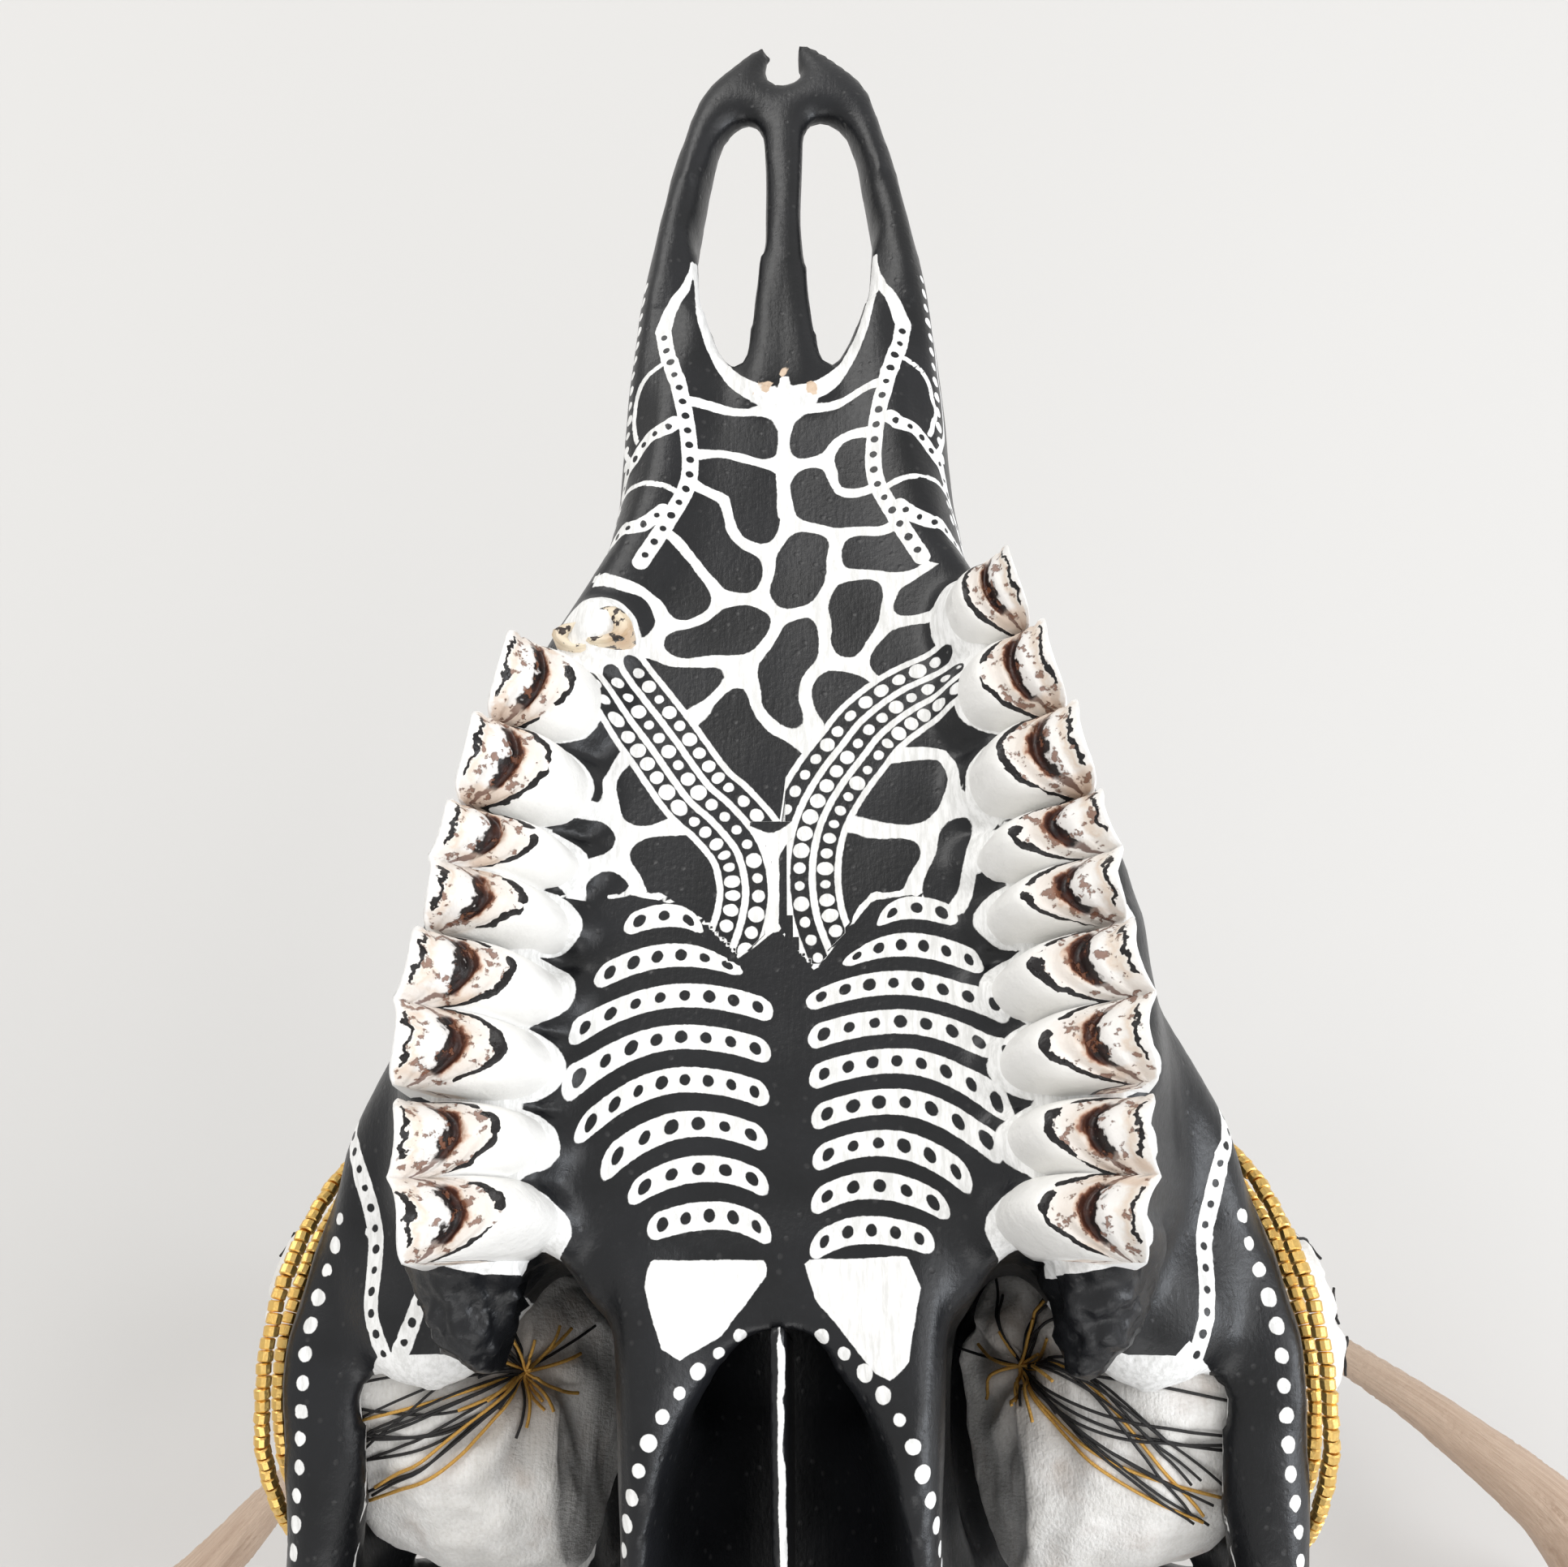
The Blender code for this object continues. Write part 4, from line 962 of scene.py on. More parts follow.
# %% Group: grain, fine and broad, and small pores
grain, given, out = new_group("grain", [("Size", "Float", 1.0)],
                              [("Fine", "Float"), ("Broad", "Float"), ("Pores", "Float")])
where = add_node(grain, "VectorMath", add_node(grain, "TexCoord").outputs["Object"],
                 operation="SCALE")
feed(grain, where.inputs["Scale"], calc(grain, "DIVIDE", 1000.0, given["Size"]))
fine = add_node(grain, "TexNoise", where.outputs[0], None, 1.5, 4.0, 0.6)
broad = add_node(grain, "TexNoise", where.outputs[0], None, 0.09, 3.0, 0.55)
pores = add_node(grain, "TexVoronoi", where.outputs[0], None, 0.55)
feed(grain, out["Fine"], fine.outputs[0])
feed(grain, out["Broad"], rise(grain, broad.outputs[0], 0.3, 0.7))
feed(grain, out["Pores"], rise(grain, pores.outputs[0], 0.22, 0.05))

# %% Group: brush streaks
# Noise that is stretched along the stroke, so that it looks like drawn paint.
streaks, given, out = new_group("brush_streaks", [("Along", "Vector", (1.0, 0.12, 1.0))],
                                [("Streak", "Float")])
stretched = add_node(streaks, "VectorMath", add_node(streaks, "TexCoord").outputs["Object"],
                     given["Along"], operation="MULTIPLY")
drawn = add_node(streaks, "TexNoise", stretched.outputs[0], None, 1500.0, 3.0, 0.7)
feed(streaks, out["Streak"], rise(streaks, drawn.outputs[0], 0.34, 0.62))

# %% Group: the nearest of many even stripes
# The path's three numbers are the place in dots, a distance through the stripes,
# and the distance beyond a stripe's end, which rounds the end.
stripes, given, out = new_group("nearest_stripe", [("Path", "Vector", None), ("Gap", "Float", 2.5),
                                                   ("First", "Float", 0.0), ("Last", "Float", 9.0)],
                                [("Away", "Float"), ("Place", "Float")])
parts = add_node(stripes, "SeparateXYZ", given["Path"]).outputs
number = calc(stripes, "ROUND", calc(stripes, "DIVIDE", parts[1], given["Gap"]))
number = calc(stripes, "MAXIMUM", calc(stripes, "MINIMUM", number, given["Last"]), given["First"])
aside = calc(stripes, "SUBTRACT", parts[1], calc(stripes, "MULTIPLY", number, given["Gap"]))
end = calc(stripes, "MAXIMUM", parts[2], 0.0)
feed(stripes, out["Away"], calc(stripes, "SQRT", calc(
    stripes, "MULTIPLY_ADD", aside, aside, calc(stripes, "MULTIPLY", end, end))))
feed(stripes, out["Place"], calc(stripes, "MULTIPLY_ADD", number, 30.0, parts[0]))

# %% Group: round dots along a path
# The path's three numbers are the place in dots, the distance and the dot length.
dots, given, out = new_group("round_dots", [("Path", "Vector", None), ("Radius", "Float", 0.8),
                                            ("Spread", "Float", 0.2)],
                             [("Depth", "Float"), ("Across", "Float")])
parts = add_node(dots, "SeparateXYZ", given["Path"]).outputs
across = calc(dots, "ABSOLUTE", parts[1])
along = calc(dots, "MULTIPLY", calc(dots, "SUBTRACT", calc(dots, "FRACT", parts[0]), 0.5), parts[2])
reach = calc(dots, "SQRT", calc(dots, "MULTIPLY_ADD", along, along,
                                calc(dots, "MULTIPLY", across, across)))
chance = add_node(dots, "TexWhiteNoise", noise_dimensions="1D")
feed(dots, chance.inputs["W"], calc(dots, "FLOOR", parts[0]))
size = calc(dots, "MULTIPLY_ADD", calc(dots, "SUBTRACT", chance.outputs[0], 0.5), given["Spread"],
            given["Radius"])
feed(dots, out["Depth"], calc(dots, "SUBTRACT", size, reach))
feed(dots, out["Across"], across)
print("node groups:", len(bpy.data.node_groups))

# %% [markdown]
# ## Black and white paint on bone
# Satin black covers the bone, and the white lies on it as thick gouache that
# stands a tenth of a millimetre proud. All the pattern's distances are in
# millimetres and above zero where the paint is white; the largest or smallest
# of them wins, as one stroke covers another.

# %% The painted bone
BAND_EDGE, BAND_BLACK = 1.75, 1.0       # half widths of a band with its edge, and of its black
BAR_HALF, BRANCH_HALF, RIBBON_HALF = 1.3, 1.0, 1.05
LONE = 900.0                            # the gap of a line that has no neighbours


def painted_bone():
    made, tree, shader = new_material("painted_bone", Coat_Roughness=0.3, Specular_IOR_Level=0.4)
    ground = attribute(tree, "ground")[0]
    grains = use(tree, grain, Size=1.0)

    def dotted(name, gap, first, last, pitch, radius, spread):
        """Dots on the nearest line of a family of lines."""
        line = use(tree, stripes, Path=attribute(tree, name)[1], Gap=gap, First=first, Last=last)
        path = add_node(tree, "CombineXYZ", line["Place"], line["Away"], pitch).outputs[0]
        return use(tree, dots, Path=path, Radius=radius, Spread=spread)

    band = dotted("bands", BAND_STEP, -1.0, 1.0, BAND_DOT, 0.74, 0.42)
    bar = dotted("bars", attribute(tree, "bar_gap")[0], 0.0, 8.0, BAR_DOT, 0.62, 0.16)
    ribbon = dotted("ribbons", LONE, 0.0, 0.0, 2.3, 0.46, 0.14)
    branch = dotted("branches", LONE, 0.0, 0.0, 2.2, 0.44, 0.14)
    string = dotted("strings", LONE, 0.0, 0.0, 2.8, 0.78, 0.3)
    white = calc(tree, "MAXIMUM", ground, attribute(tree, "midline")[0])
    white = calc(tree, "MAXIMUM", white, calc(tree, "SUBTRACT", BAND_EDGE, band["Across"]))
    white = calc(tree, "MINIMUM", white, calc(tree, "SUBTRACT", band["Across"], BAND_BLACK))
    white = calc(tree, "MAXIMUM", white, band["Depth"])
    for line, half in ((bar, BAR_HALF), (branch, BRANCH_HALF), (ribbon, RIBBON_HALF)):
        white = calc(tree, "MAXIMUM", white, calc(tree, "SUBTRACT", half, line["Across"]))
        white = calc(tree, "MINIMUM", white, calc(tree, "MULTIPLY", line["Depth"], -1.0))
    white = calc(tree, "MAXIMUM", white, string["Depth"])
    uneven = calc(tree, "MULTIPLY_ADD", calc(tree, "SUBTRACT", grains["Fine"], 0.5), 0.22, white)
    mask = rise(tree, uneven, -0.05, 0.05)
    streak = use(tree, streaks, Along=(1.0, 0.16, 1.0))["Streak"]
    pale = blend(tree, streak, tone(226, 226, 224), tone(249, 249, 248))
    dark = blend(tree, grains["Broad"], tone(18, 19, 21), tone(27, 28, 31))
    dark = blend(tree, grains["Pores"], dark, tone(44, 44, 45))
    colour = blend(tree, mask, dark, pale)
    bare = rise(tree, attribute(tree, "bare")[0], -0.15, 0.15)
    bone_colour = blend(tree, grains["Fine"], tone(190, 158, 130), tone(228, 210, 188))
    feed(tree, shader.inputs["Base Color"], blend(tree, bare, colour, bone_colour))
    rough_black = calc(tree, "MULTIPLY_ADD", grains["Fine"], 0.22, 0.24)
    feed(tree, shader.inputs["Roughness"], calc(tree, "MULTIPLY_ADD", mask, 0.25, rough_black))
    height = calc(tree, "MULTIPLY", mask, 0.10)
    height = calc(tree, "MULTIPLY_ADD", grains["Fine"], 0.07, height)
    height = calc(tree, "MULTIPLY_ADD", grains["Pores"], -0.05, height)
    height = calc(tree, "MULTIPLY_ADD", streak, 0.012, height)
    raise_surface(tree, shader, height, 0.8)
    return made


PAINTED_BONE = painted_bone()
dress(bone, PAINTED_BONE, BONES)

# %% [markdown]
# ## Tooth enamel
# The inner faces are painted white with the bone. The worn tops are bare: glossy
# cream enamel ridges, brown dentine between them and a dark stained pit. The
# crown attribute says where on the tooth a point lies.

# %% The teeth
# Colours by the place on the crown: the inner face up to 0, the worn top up to 1.
CROWN_STOPS = ((-1.2, (240, 239, 236)), (-0.1, (246, 245, 242)), (0.0, (240, 236, 231)),
               (0.12, (238, 232, 226)), (0.30, (232, 222, 212)), (0.345, (214, 188, 168)),
               (0.37, (146, 96, 72)), (0.40, (84, 50, 38)), (0.46, (60, 34, 28)),
               (0.51, (30, 24, 24)), (0.54, (32, 26, 25)), (0.56, (236, 233, 230)),
               (0.72, (242, 239, 235)), (0.80, (230, 214, 198)), (0.85, (242, 236, 228)),
               (0.96, (249, 248, 246)), (2.2, (248, 247, 245)))


def worn_teeth():
    made, tree, shader = new_material("worn_teeth", Coat_Roughness=0.2, Specular_IOR_Level=0.4)
    grains = use(tree, grain, Size=0.8)
    place_on = add_node(tree, "SeparateXYZ", attribute(tree, "crown")[1]).outputs
    where = add_node(tree, "TexCoord").outputs["Object"]
    wander = add_node(tree, "TexNoise", where, None, 460.0, 3.0, 0.55).outputs[0]
    stains = add_node(tree, "TexNoise", where, None, 700.0, 3.0, 0.6).outputs[0]
    mark = calc(tree, "MULTIPLY_ADD", calc(tree, "SUBTRACT", wander, 0.5), 0.34, place_on[0])
    mark = calc(tree, "MULTIPLY_ADD", calc(tree, "SUBTRACT", grains["Fine"], 0.5), 0.03, mark)
    ramp = add_node(tree, "ValToRGB", add_node(tree, "MapRange", mark, -1.2, 2.2).outputs[0])
    stops = ramp.color_ramp.elements
    while len(stops) < len(CROWN_STOPS):
        stops.new(0.5)
    for stop, (at, colour) in zip(stops, CROWN_STOPS):
        stop.position = (at + 1.2) / 3.4
        stop.color = tone(*colour)
    # between two lobes the pit fades to a thin brown line
    cream = rise(tree, grains["Broad"], 0.2, 0.9)
    cream = blend(tree, cream, tone(240, 235, 229), tone(224, 206, 190))
    on_top = calc(tree, "MULTIPLY", rise(tree, mark, -0.02, 0.04), rise(tree, mark, 0.94, 0.88))
    lobe = rise(tree, calc(tree, "MULTIPLY_ADD", wander, 0.5, place_on[2]), 0.62, 0.82)
    colour = blend(tree, calc(tree, "MULTIPLY", on_top, calc(tree, "SUBTRACT", 1.0, lobe)),
                   ramp.outputs[0], cream)
    thin = rise(tree, calc(tree, "ABSOLUTE", calc(tree, "SUBTRACT", mark, 0.5)), 0.06, 0.035)
    thin = calc(tree, "MULTIPLY", thin, calc(tree, "SUBTRACT", 1.0, lobe))
    colour = blend(tree, calc(tree, "MULTIPLY", thin, 0.8), colour, tone(96, 54, 38))
    stained = calc(tree, "MULTIPLY", on_top, rise(tree, stains, 0.57, 0.63))
    colour = blend(tree, calc(tree, "MULTIPLY", stained, 0.85), colour, tone(124, 80, 58))
    # broken black strokes along the inner crest and the outer edge
    broken = add_node(tree, "TexNoise", None, None, 1.5, 2.0, 0.5, noise_dimensions="1D")
    feed(tree, broken.inputs["W"], place_on[1])
    wide = calc(tree, "MULTIPLY_ADD", broken.outputs[0], 0.8, -0.8 * 0.36)
    wide = calc(tree, "MINIMUM", wide, 0.075)
    inner = calc(tree, "SUBTRACT", wide, calc(tree, "ABSOLUTE", mark))
    outer = calc(tree, "SUBTRACT", calc(tree, "MULTIPLY_ADD", lobe, 0.05, -0.025),
                 calc(tree, "ABSOLUTE", calc(tree, "SUBTRACT", mark, 0.88)))
    ink = rise(tree, calc(tree, "MAXIMUM", inner, outer), -0.004, 0.004)
    colour = blend(tree, ink, colour, tone(26, 23, 24))
    worn = blend(tree, grains["Broad"], tone(236, 222, 196), tone(186, 146, 104))
    worn = blend(tree, rise(tree, stains, 0.55, 0.6), worn, tone(40, 32, 28))
    stub = calc(tree, "MULTIPLY", rise(tree, attribute(tree, "stub")[0], -0.1, 0.1), 0.9)
    feed(tree, shader.inputs["Base Color"], blend(tree, stub, colour, worn))
    feed(tree, shader.inputs["Roughness"], calc(tree, "MULTIPLY_ADD", grains["Fine"], 0.3, 0.22))
    height = calc(tree, "MULTIPLY_ADD", grains["Fine"], 0.10, calc(tree, "MULTIPLY", ink, 0.08))
    height = calc(tree, "MULTIPLY_ADD", stained, -0.3, height)
    height = calc(tree, "MULTIPLY_ADD", wander, 0.3, height)
    raise_surface(tree, shader, height, 0.7)
    return made


TEETH_LOOK = worn_teeth()
for label, side in SIDES:
    dress(tooth_rows[label], TEETH_LOOK, ["maxilla_" + label])

# %% [markdown]
# ## The thin wall between the inner nostrils
# It is one sheet of bone, painted black with a white edge.

# %% The wall
wall = skin("nose_wall", ("vomer",), 0.55, 3, 0.05)
points = read(wall)
EDGE = smooth_line([(-5.5, -2.6, 0), (-14, -4.5, 0), (-26, -9, 0), (-40, -17, 0), (-50, -26, 0)])
away = np.array([np.hypot(EDGE[:, 0] - p[1], EDGE[:, 1] - p[2]).min() for p in points])
waver = rough(points, 5.0, 1.0, 2)
waver = 0.34 + 0.3 * waver - np.abs(points[:, 0] - MIDLINE - 0.5 * waver)
store(wall, "ground", np.minimum(0.75 - away, waver))
for name in ("bare", "midline"):
    store(wall, name, np.full(len(points), NO_PAINT))
store(wall, "bar_gap", np.full(len(points), 4.0))
for name in ("bands", "bars", "ribbons", "branches", "strings"):
    store(wall, name, np.tile((0.0, 99.0, 99.0), (len(points), 1)))
wall.data.shade_smooth()
dress(wall, PAINTED_BONE, ["vomer"])

# %% [markdown]
# ## Antlers
# Antler is bone that grows in a season: long ridges and grooves run up the beam
# from a knobbly collar, small pearls cover its foot, and the tips are polished
# pale. One skin covers each antler's lengths and tines.

# %% Each antler's beam, as in the solids, and the ridges along it
ANTLER_NODES = ("base", "beam", "beam_tip", "brow_tine", "second_tine", "third_tine")
BEAM = {
    "left": [(36, -61, -96), (54, -80, -117), (88, -94, -140), (124, -83, -154),
             (143, -54, -160), (137.5, -30, -162), (122, -13.5, -165), (106, -0.5, -169),
             (84, 16, -182), (70, 28, -205)],
    "right": [(-36, -61, -96), (-56, -82, -118), (-95, -100, -141), (-134, -98, -154),
              (-154, -80, -158), (-139, -59, -161), (-117, -37, -164), (-104, -21, -168),
              (-88, -2, -182), (-76, 14, -205)],
}


def grow_ridges(obj, line):
    """Ridges along the beam and pearls near its foot; returns grain and groove depth."""
    points, facing = read(obj), read(obj, "normal")
    line = smooth_line(line, 1.0)
    tree = tree_of(line)
    nearest = np.array([tree.find(p)[1] for p in points])
    heading = headings(line)
    offset = points - line[nearest]
    offset -= (offset * heading[nearest]).sum(1)[:, None] * heading[nearest]
    reach = np.linalg.norm(offset, axis=1)
    spoke = offset / (reach[:, None] + 1e-9)
    along = nearest * 1.0
    # noise on a cylinder that is much longer than wide gives long ridges
    drawn = np.column_stack((spoke * 7.5, along / 14))
    keys = np.column_stack((drawn[:, 0] + drawn[:, 3], drawn[:, 1] - 0.6 * drawn[:, 3],
                            drawn[:, 2] + 0.3 * drawn[:, 3]))
    ridges = rough(keys, 2.3, 3.0, 3)
    foot = np.clip(1 - along / 90, 0, 1)
    pearls = np.maximum(0, rough(points, 2.6, 6.0, 2)) * foot
    burr = np.exp(-((along - 3) / 5.0) ** 2) * np.maximum(0, rough(points, 4.2, 2.0, 2))
    fade = np.interp(along, (0, 200, 330, len(line)), (1, 0.8, 0.45, 0.15))
    move = (ridges * 0.55 * fade + pearls * 0.9 + burr * 1.6)
    write(obj, points + move[:, None] * facing)
    store(obj, "grain_way", keys)
    return ridges * fade - 0.8 * pearls, along / len(line)

# %% Both antlers
antlers = {}
for label, side in SIDES:
    nodes = [f"antler_{name}_{label}" for name in ANTLER_NODES]
    antler = skin("antler_" + label + "_whole", nodes, 0.85, 5, 0.22)
    groove, height_on = grow_ridges(antler, BEAM[label])
    store(antler, "groove", -groove)
    store(antler, "tip", np.asarray(height_on, float))
    antler.data.shade_smooth()
    antlers[label] = antler

# %% The look of dry antler
def dry_antler():
    made, tree, shader = new_material("dry_antler", Specular_IOR_Level=0.45)
    grains = use(tree, grain, Size=1.2)
    fibres = add_node(tree, "TexNoise", attribute(tree, "grain_way")[1], None, 2.2, 4.0, 0.65)
    groove = rise(tree, attribute(tree, "groove")[0], 0.0, 0.6)
    base = rise(tree, fibres.outputs[0], 0.3, 0.7)
    base = blend(tree, base, tone(184, 158, 138), tone(206, 184, 164))
    base = blend(tree, calc(tree, "MULTIPLY", grains["Broad"], 0.6), base, tone(196, 172, 152))
    base = blend(tree, calc(tree, "MULTIPLY", groove, 0.45), base, tone(140, 108, 84))
    tip = rise(tree, attribute(tree, "tip")[0], 0.7, 1.0)
    base = blend(tree, calc(tree, "MULTIPLY", tip, 0.5), base, tone(226, 212, 192))
    feed(tree, shader.inputs["Base Color"], base)
    feed(tree, shader.inputs["Roughness"], calc(tree, "MULTIPLY_ADD", fibres.outputs[0], 0.4, 0.28))
    height = calc(tree, "MULTIPLY", grains["Fine"], 0.12)
    height = calc(tree, "MULTIPLY_ADD", fibres.outputs[0], 0.3, height)
    raise_surface(tree, shader, height, 0.8)
    return made


ANTLER_LOOK = dry_antler()
for label, side in SIDES:
    dress(antlers[label], ANTLER_LOOK, [f"antler_{name}_{label}" for name in ANTLER_NODES])

# %% [markdown]
# ## Eye pads
# Each socket is filled with a ball of muslin, stuffed and stitched with black
# thread. A cloth simulation with some air pressure swells it, and threads that
# were pulled tight leave dimples.

# %% The sockets' frame, as in the solids
ORBIT = np.array((49.3, -3.3, -44.4))
TURN, LIFT = math.radians(8.5), math.radians(15)


def socket_frame(side):
    """Centre of a socket, outward, ahead and down in its rim's plane."""
    out = unit(np.array((math.cos(TURN) * math.cos(LIFT), math.sin(TURN),
                         -math.cos(TURN) * math.sin(LIFT))))
    ahead = unit(np.array((0, 1.0, 0)) - out * out[1])
    turn = np.array((side, 1, 1))
    return ORBIT * turn, out * turn, ahead * turn, np.cross(out, ahead) * turn


# %% The cloth balls
PAD_VOXEL = 1.3
PAD_SLACK = 0.9                         # the cloth starts this much inside the solid
PAD_SWELL = 1.1                         # and swells no farther than this
pads = {}
for label, side in SIDES:
    pad = copy_of("eye_patch_" + label, "eye_pad_" + label)
    work_on(pad, "REMESH", mode="VOXEL", voxel_size=PAD_VOXEL * MM)
    work_on(pad, "SMOOTH", factor=0.5, iterations=3)
    start = read(pad)
    start -= PAD_SLACK * read(pad, "normal")
    write(pad, start)
    cloth = pad.modifiers.new("Cloth", "CLOTH")
    cloth.settings.quality = 5
    cloth.settings.mass = 0.2
    cloth.settings.tension_stiffness = cloth.settings.compression_stiffness = 8
    cloth.settings.use_pressure = True
    cloth.settings.uniform_pressure_force = 4
    cloth.settings.effector_weights.gravity = 0
    cloth.settings.shrink_min = -0.03
    for number in range(1, 21):
        bpy.context.scene.frame_set(number)
    pick(pad)
    bpy.ops.object.modifier_apply(modifier="Cloth")
    swollen = read(pad)
    moved = swollen - start
    size = np.linalg.norm(moved, axis=1)
    write(pad, start + moved * (np.minimum(size, PAD_SWELL) / (size + 1e-9))[:, None])
    print("cloth moved", round(float(size.mean()), 2), "mm")
    work_on(pad, "SUBSURF", levels=1, render_levels=1)
    pads[label] = pad
bpy.context.scene.frame_set(1)

# %% Knots that pull the cloth in, and its creases
PAD_OUT = 13                            # from the socket's centre to the pad's outer face
STITCHES = ((5, 9), (-8, 8), (0, 13), (-3, -6), (8, -4), (9, 12), (-12, 3), (-5, 15))
KNOTS = {"left": (24.6, -7.7, -24), "right": (-28.5, -8.6, -24)}   # seen through the palate side
KNOT_WAYS = {}


def under_camera(obj, target):
    """Where the camera's ray toward the target meets the cloth, and the way out of it."""
    eye = place(EYE)
    spot, up, _, _ = surface_of(obj).ray_cast(eye, (place(target) - eye).normalized())
    return np.array(spot) / MM - SKULL, np.array(up)


def pull_in(obj, label, side):
    centre, out, ahead, down = socket_frame(side)
    points, facing = read(obj), read(obj, "normal")
    spot, up = under_camera(obj, KNOTS[label])
    KNOT_WAYS[label] = (spot, up)
    knots = [(spot, up, 3.0, 9.0)]
    for a, b in STITCHES[:5]:
        middle = centre + out * PAD_OUT + ahead * a + down * b
        near = np.linalg.norm(points - middle, axis=1).argmin()
        knots.append((points[near], facing[near], 1.3, 4.5))
    move = np.zeros(len(points))
    for knot, up, deep, wide in knots:
        away = points - knot
        reach = np.linalg.norm(away, axis=1)
        one = unit(np.cross(up, (0.2, 0.9, 0.3)))
        turn = np.arctan2(away @ np.cross(up, one), away @ one) + 0.35 * reach / wide
        folds = sum(np.exp(-((np.mod(turn - at + np.pi, 2 * np.pi) - np.pi) / 0.22) ** 2)
                    for at in (0.3, 1.2, 1.9, 3.0, 3.9, 5.2))
        move += -deep * np.exp(-(reach / (0.35 * wide)) ** 2)
        move -= 0.55 * deep * folds * np.exp(-((reach - 0.8 * wide) / (0.8 * wide)) ** 2)
    move += 0.7 * rough(points, 8.0, 4.0, 3)
    write(obj, points + np.minimum(move, 0.15)[:, None] * facing)
    # how near the main knot is: the cloth's material uses it to paint shade into the knot's dimple
    store(obj, "knot", np.exp(-(np.linalg.norm(points - spot, axis=1) / 8) ** 2))


for label, side in SIDES:
    pull_in(pads[label], label, side)

# %% The cloth's weave, random brown blotches and painted shade round the knot
def muslin():
    made, tree, shader = new_material("muslin", Roughness=0.92, Sheen_Weight=0.2)
    grains = use(tree, grain, Size=0.6)
    where = add_node(tree, "TexCoord").outputs["Object"]
    wefts = []
    for stretch in ((2600.0, 300.0, 2600.0), (2600.0, 2600.0, 300.0)):
        along = add_node(tree, "VectorMath", where, stretch, operation="MULTIPLY")
        wefts.append(add_node(tree, "TexNoise", along.outputs[0], None, 1.0, 2.0, 0.5).outputs[0])
    weave = calc(tree, "ADD", *wefts)
    light = blend(tree, grains["Broad"], tone(228, 226, 222), tone(250, 249, 247))
    light = blend(tree, rise(tree, weave, 0.8, 1.3, 0.0, 0.3), light, tone(204, 200, 193))
    blots = add_node(tree, "TexNoise", where, None, 150.0, 3.0, 0.5).outputs[0]
    # random brown blotches, plus painted shade: the cloth darkens to brown toward the main knot, where it
    # is pulled into a dimple
    blotches_and_knot_shade = rise(tree, blots, 0.5, 0.8, 0.0, 0.5)
    blotches_and_knot_shade = calc(tree, "MULTIPLY_ADD", attribute(tree, "knot")[0], 0.5, blotches_and_knot_shade)
    feed(tree, shader.inputs["Base Color"], blend(tree, blotches_and_knot_shade, light, tone(168, 146, 126)))
    height = calc(tree, "MULTIPLY_ADD", weave, 0.16, calc(tree, "MULTIPLY", grains["Fine"], 0.1))
    raise_surface(tree, shader, height, 0.7)
    return made


MUSLIN = muslin()
for label, side in SIDES:
    pads[label].data.shade_smooth()
    dress(pads[label], MUSLIN, ["eye_patch_" + label])

# %% [markdown]
# ## Stitches
# Threads are tubes that lie on the cloth. Their points are dropped on the pad's
# surface, lifted by half a thread, and a ring of six corners is carried along.

# %% Threads on the pads
def thread(shell, line, radius, sides=6):
    """Append a closed tube along the line to points and faces."""
    points, faces = shell
    heading = headings(line)
    first = len(points)
    aside = np.cross(heading[0], (0.3, 0.5, 0.8))
    for p, ahead in zip(line, heading):
        aside = unit(aside - ahead * (aside @ ahead))
        over = np.cross(ahead, aside)
        for k in range(sides):
            a = 2 * math.pi * k / sides
            points.append(p + (aside * math.cos(a) + over * math.sin(a)) * radius)
    for i in range(len(line) - 1):
        for k in range(sides):
            a, b = first + i * sides + k, first + i * sides + (k + 1) % sides
            faces.append((a, b, b + sides, a + sides))
    faces.append(tuple(first + k for k in reversed(range(sides))))
    faces.append(tuple(len(points) - sides + k for k in range(sides)))


def on_cloth(tree, points, up, lift):
    """Drop points on the cloth against up; a taut thread bridges the hollows."""
    heights = []
    for p in points:
        spot = tree.ray_cast(place(p + up * 12), -Vector(up))[0]
        if spot is None:
            break
        heights.append((np.array(spot) / MM - SKULL - p) @ up)
    if len(heights) < 6:
        return None
    heights = np.array(heights)
    wide = np.pad(heights, 4, mode="edge")
    taut = np.convolve(wide, np.ones(9) / 9, mode="valid")
    return points[:len(heights)] + up * (np.maximum(heights, taut) + lift)[:, None]

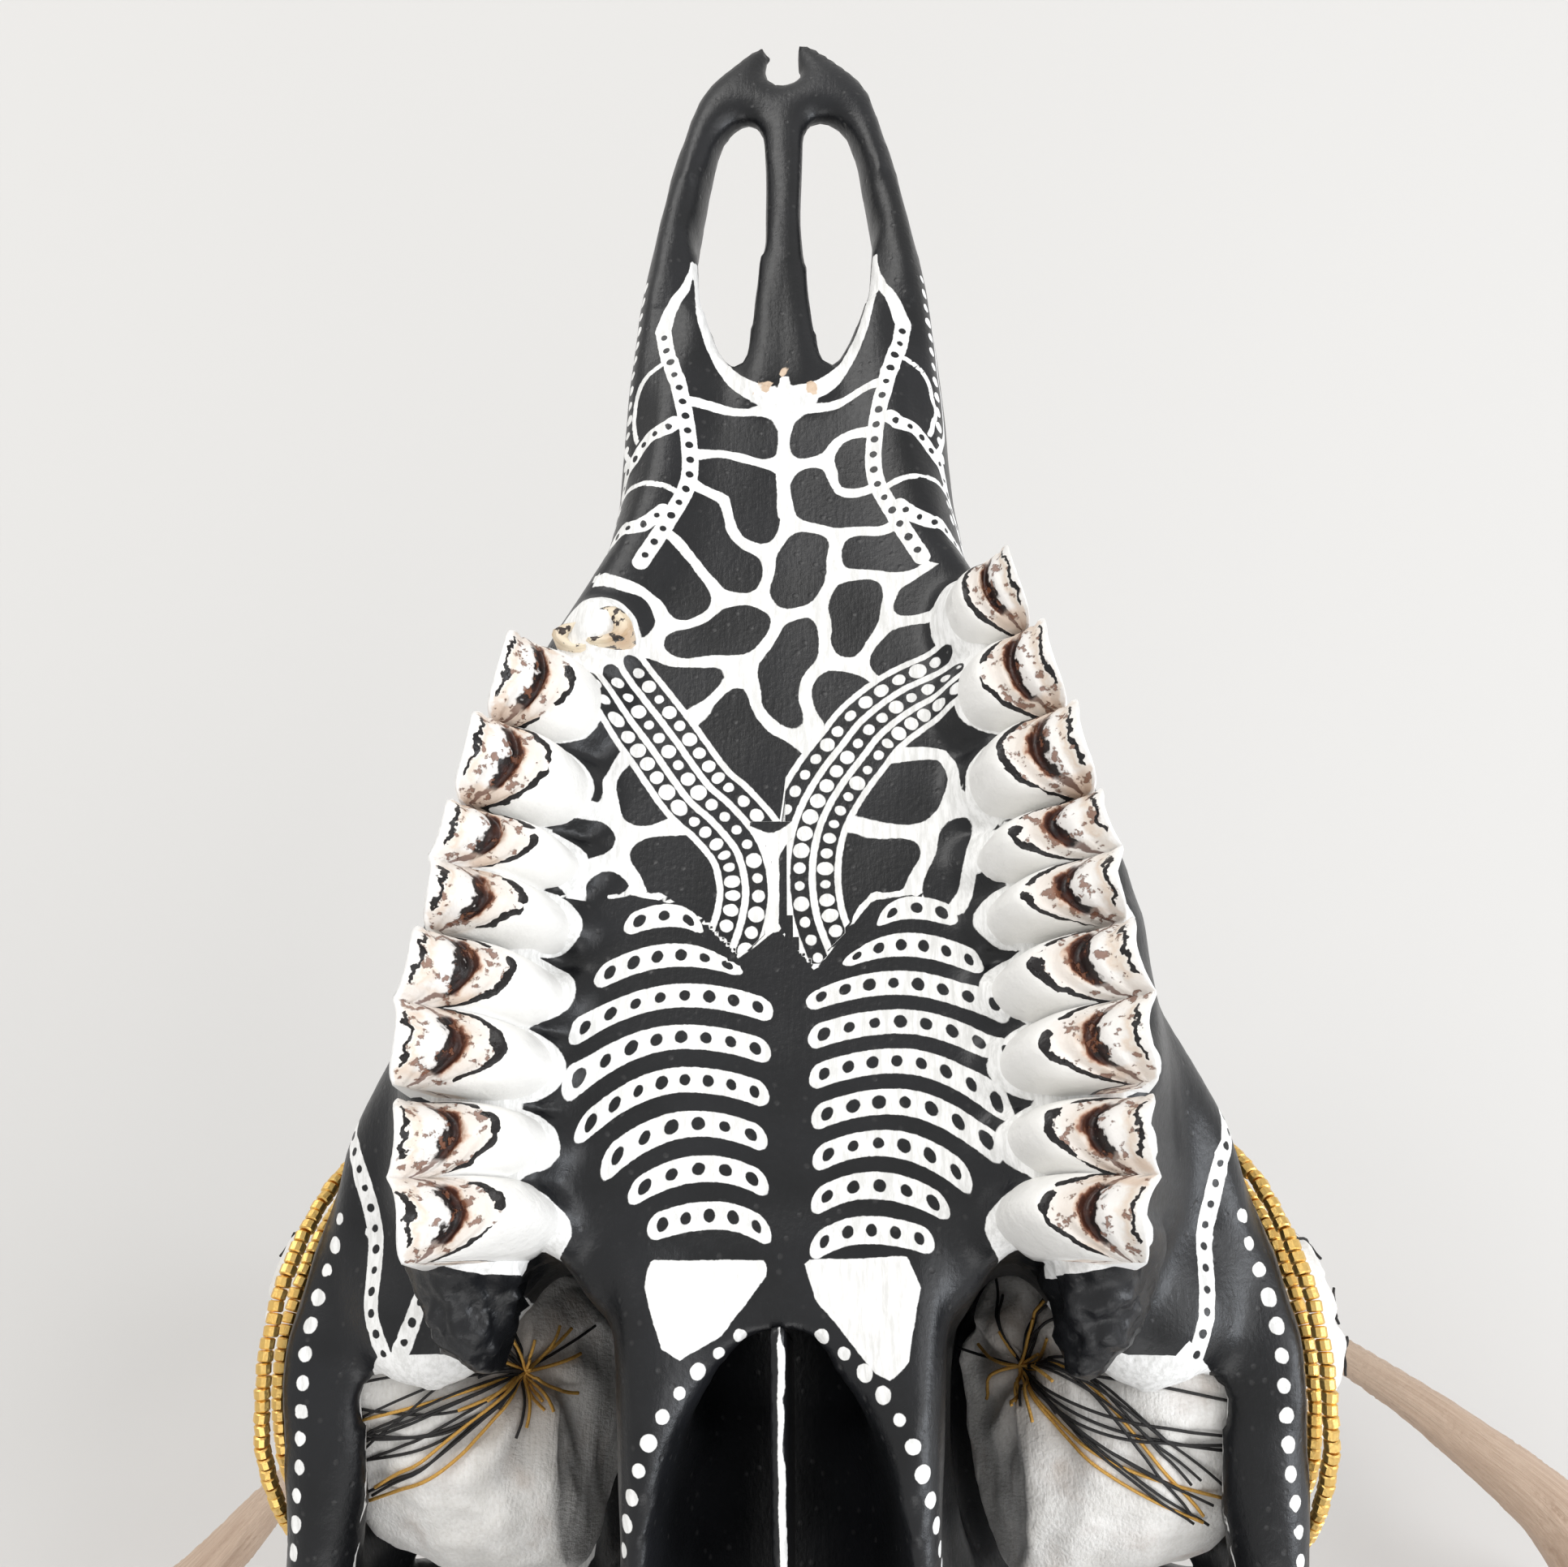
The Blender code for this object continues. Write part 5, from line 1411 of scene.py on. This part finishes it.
# %% The threads of each pad
THREADS = {"black_thread": 0.17, "gold_thread": 0.2}    # radius
thread_pieces = []
for label, side in SIDES:
    surface = surface_of(pads[label])
    centre, out, ahead, down = socket_frame(side)
    knot, up = KNOT_WAYS[label]
    one = unit(np.cross(up, (0.2 * side, 0.9, 0.3)))
    two = np.cross(up, one)
    draw = random.Random(23 + side)
    shells = {name: ([], []) for name in THREADS}

    def sew(name, line, way, lift):
        laid = on_cloth(surface, np.array(line), way, lift)
        if laid is not None:
            thread(shells[name], laid, THREADS[name])

    aside = unit(np.array((side, -0.25, 0)) - up * (up @ (side, -0.25, 0)))
    rearward = np.cross(up, aside) * side
    rearward *= -np.sign(rearward[1])
    steps = np.linspace(0, 1, 40)
    for k in range(16):                     # long threads that sag toward the cheek bar
        far, drop, sag = 17 + 12 * draw.random(), draw.uniform(-5, 14), draw.uniform(-5, 9)
        name = "gold_thread" if k in (3, 8, 12) else "black_thread"
        sew(name, [knot + aside * far * s + rearward * (drop * s * s + sag * math.sin(3.1 * s) * 0.6)
                   for s in steps], up, 0.25 + 0.5 * draw.random())
    for k in range(17):                     # short ends stand like a star
        name = "gold_thread" if k % 5 != 0 else "black_thread"
        turn, far, bow = draw.uniform(0, 2 * math.pi), draw.uniform(3, 9), draw.uniform(-0.4, 0.4)
        sew(name, [knot + (one * math.cos(turn + bow * s) + two * math.sin(turn + bow * s)) * far * s
                   for s in steps], up, 0.5 + 0.8 * draw.random())
    for k in range(7):                      # a few longer ones toward the snout and the middle
        turn, far = draw.uniform(0, 2 * math.pi), draw.uniform(9, 15)
        way = -aside * math.cos(turn) - rearward * abs(math.sin(turn))
        sew("black_thread", [knot + way * far * s + aside * 2.5 * s * s for s in steps], up,
            0.3 + 0.4 * draw.random())
    # stitches on the outside: short bars in pairs
    for a, b in STITCHES:
        middle = centre + out * PAD_OUT + ahead * a + down * b
        near, face, _, _ = surface.find_nearest(place(middle))
        near, face = np.array(near) / MM - SKULL, np.array(face)
        for lean in (0.7, -0.8):
            way = ahead * math.cos(lean) + down * math.sin(lean)
            way -= face * (way @ face)
            sew("black_thread", [near + way * 2.8 * s for s in np.linspace(-1, 1, 12)], face, 0.2)
    for name, shell in shells.items():
        made = new_object(f"{name}_{label}", *shell)
        outward(made)
        made.data.shade_smooth()
        thread_pieces.append((name, made))

# %% Black and gold thread
def spun(name, dark, light, metallic):
    made, tree, shader = new_material(name, Roughness=0.6, Metallic=metallic)
    grains = use(tree, grain, Size=0.35)
    feed(tree, shader.inputs["Base Color"], blend(tree, grains["Fine"], dark, light))
    raise_surface(tree, shader, calc(tree, "MULTIPLY", grains["Fine"], 0.15), 0.8)
    return made


SPUN = {"black_thread": spun("black_thread", tone(16, 15, 15), tone(44, 42, 42), 0.0),
        "gold_thread": spun("gold_thread", tone(176, 124, 50), tone(246, 202, 112), 0.6)}
for name, made in thread_pieces:
    dress(made, SPUN[name])

# %% [markdown]
# ## Gold beads
# Two strings of short gold tubes circle each pad. One bead is a cylinder with
# bevelled ends; it is copied along the string, each copy a little different.

# %% One bead
bpy.ops.object.select_all(action="DESELECT")
bpy.ops.mesh.primitive_cylinder_add(vertices=10, radius=0.88 * MM, depth=1.24 * MM)
bead = bpy.context.object
bpy.ops.object.mode_set(mode="EDIT")
bpy.ops.mesh.select_all(action="DESELECT")
work = bmesh.from_edit_mesh(bead.data)
for edge in work.edges:
    edge.select_set(edge.verts[0].co.z * edge.verts[1].co.z > 0)
bpy.ops.mesh.bevel(offset=0.16 * MM, segments=1)
bpy.ops.object.mode_set(mode="OBJECT")
bead_points = np.array([v.co for v in bead.data.vertices]) / MM
bead_faces = [tuple(f.vertices) for f in bead.data.polygons]
bpy.data.objects.remove(bead)
print("one bead:", len(bead_faces), "faces")

# %% The strings of beads
HOOPS = (("inner", 21.9, 1.7), ("outer", 25.0, 1.6))   # radius, and how far outward it lies
BEAD_PITCH = 1.32


def gilt():
    made, tree, shader = new_material("gilt_beads", Metallic=1.0)
    grains = use(tree, grain, Size=0.5)
    warm = blend(tree, grains["Fine"], tone(222, 174, 90), tone(255, 226, 150))
    feed(tree, shader.inputs["Base Color"], blend(tree, grains["Broad"], warm, tone(242, 200, 118)))
    feed(tree, shader.inputs["Roughness"], calc(tree, "MULTIPLY_ADD", grains["Fine"], 0.3, 0.2))
    raise_surface(tree, shader, calc(tree, "MULTIPLY", grains["Fine"], 0.08), 0.6)
    return made


GILT = gilt()
for label, side in SIDES:
    centre, out, ahead, down = socket_frame(side)
    for place_name, radius, shift in HOOPS:
        count = round(2 * math.pi * radius / BEAD_PITCH)
        draw = random.Random(int(radius * 10))
        points, faces = [], []
        for i in range(count):
            turn = 2 * math.pi * i / count
            spoke = ahead * math.cos(turn) + down * math.sin(turn)
            run = down * math.cos(turn) - ahead * math.sin(turn)
            middle = centre + spoke * radius + out * (shift + draw.uniform(-0.12, 0.12))
            tilt = np.array([draw.uniform(-0.12, 0.12) for _ in range(2)])
            run = unit(run + out * tilt[0] + spoke * tilt[1])
            across = unit(spoke - run * (spoke @ run))
            over = np.cross(run, across)
            size = draw.uniform(0.93, 1.05)
            first = len(points)
            points += [middle + (across * x + over * y) * size + run * z for x, y, z in bead_points]
            faces += [tuple(first + v for v in face) for face in bead_faces]
        strand = new_object(f"beads_{place_name}_{label}", points, faces)
        outward(strand)
        pick(strand)
        bpy.ops.object.shade_smooth_by_angle(angle=math.radians(35))
        dress(strand, GILT, [f"bead_strand_{place_name}_{label}"])
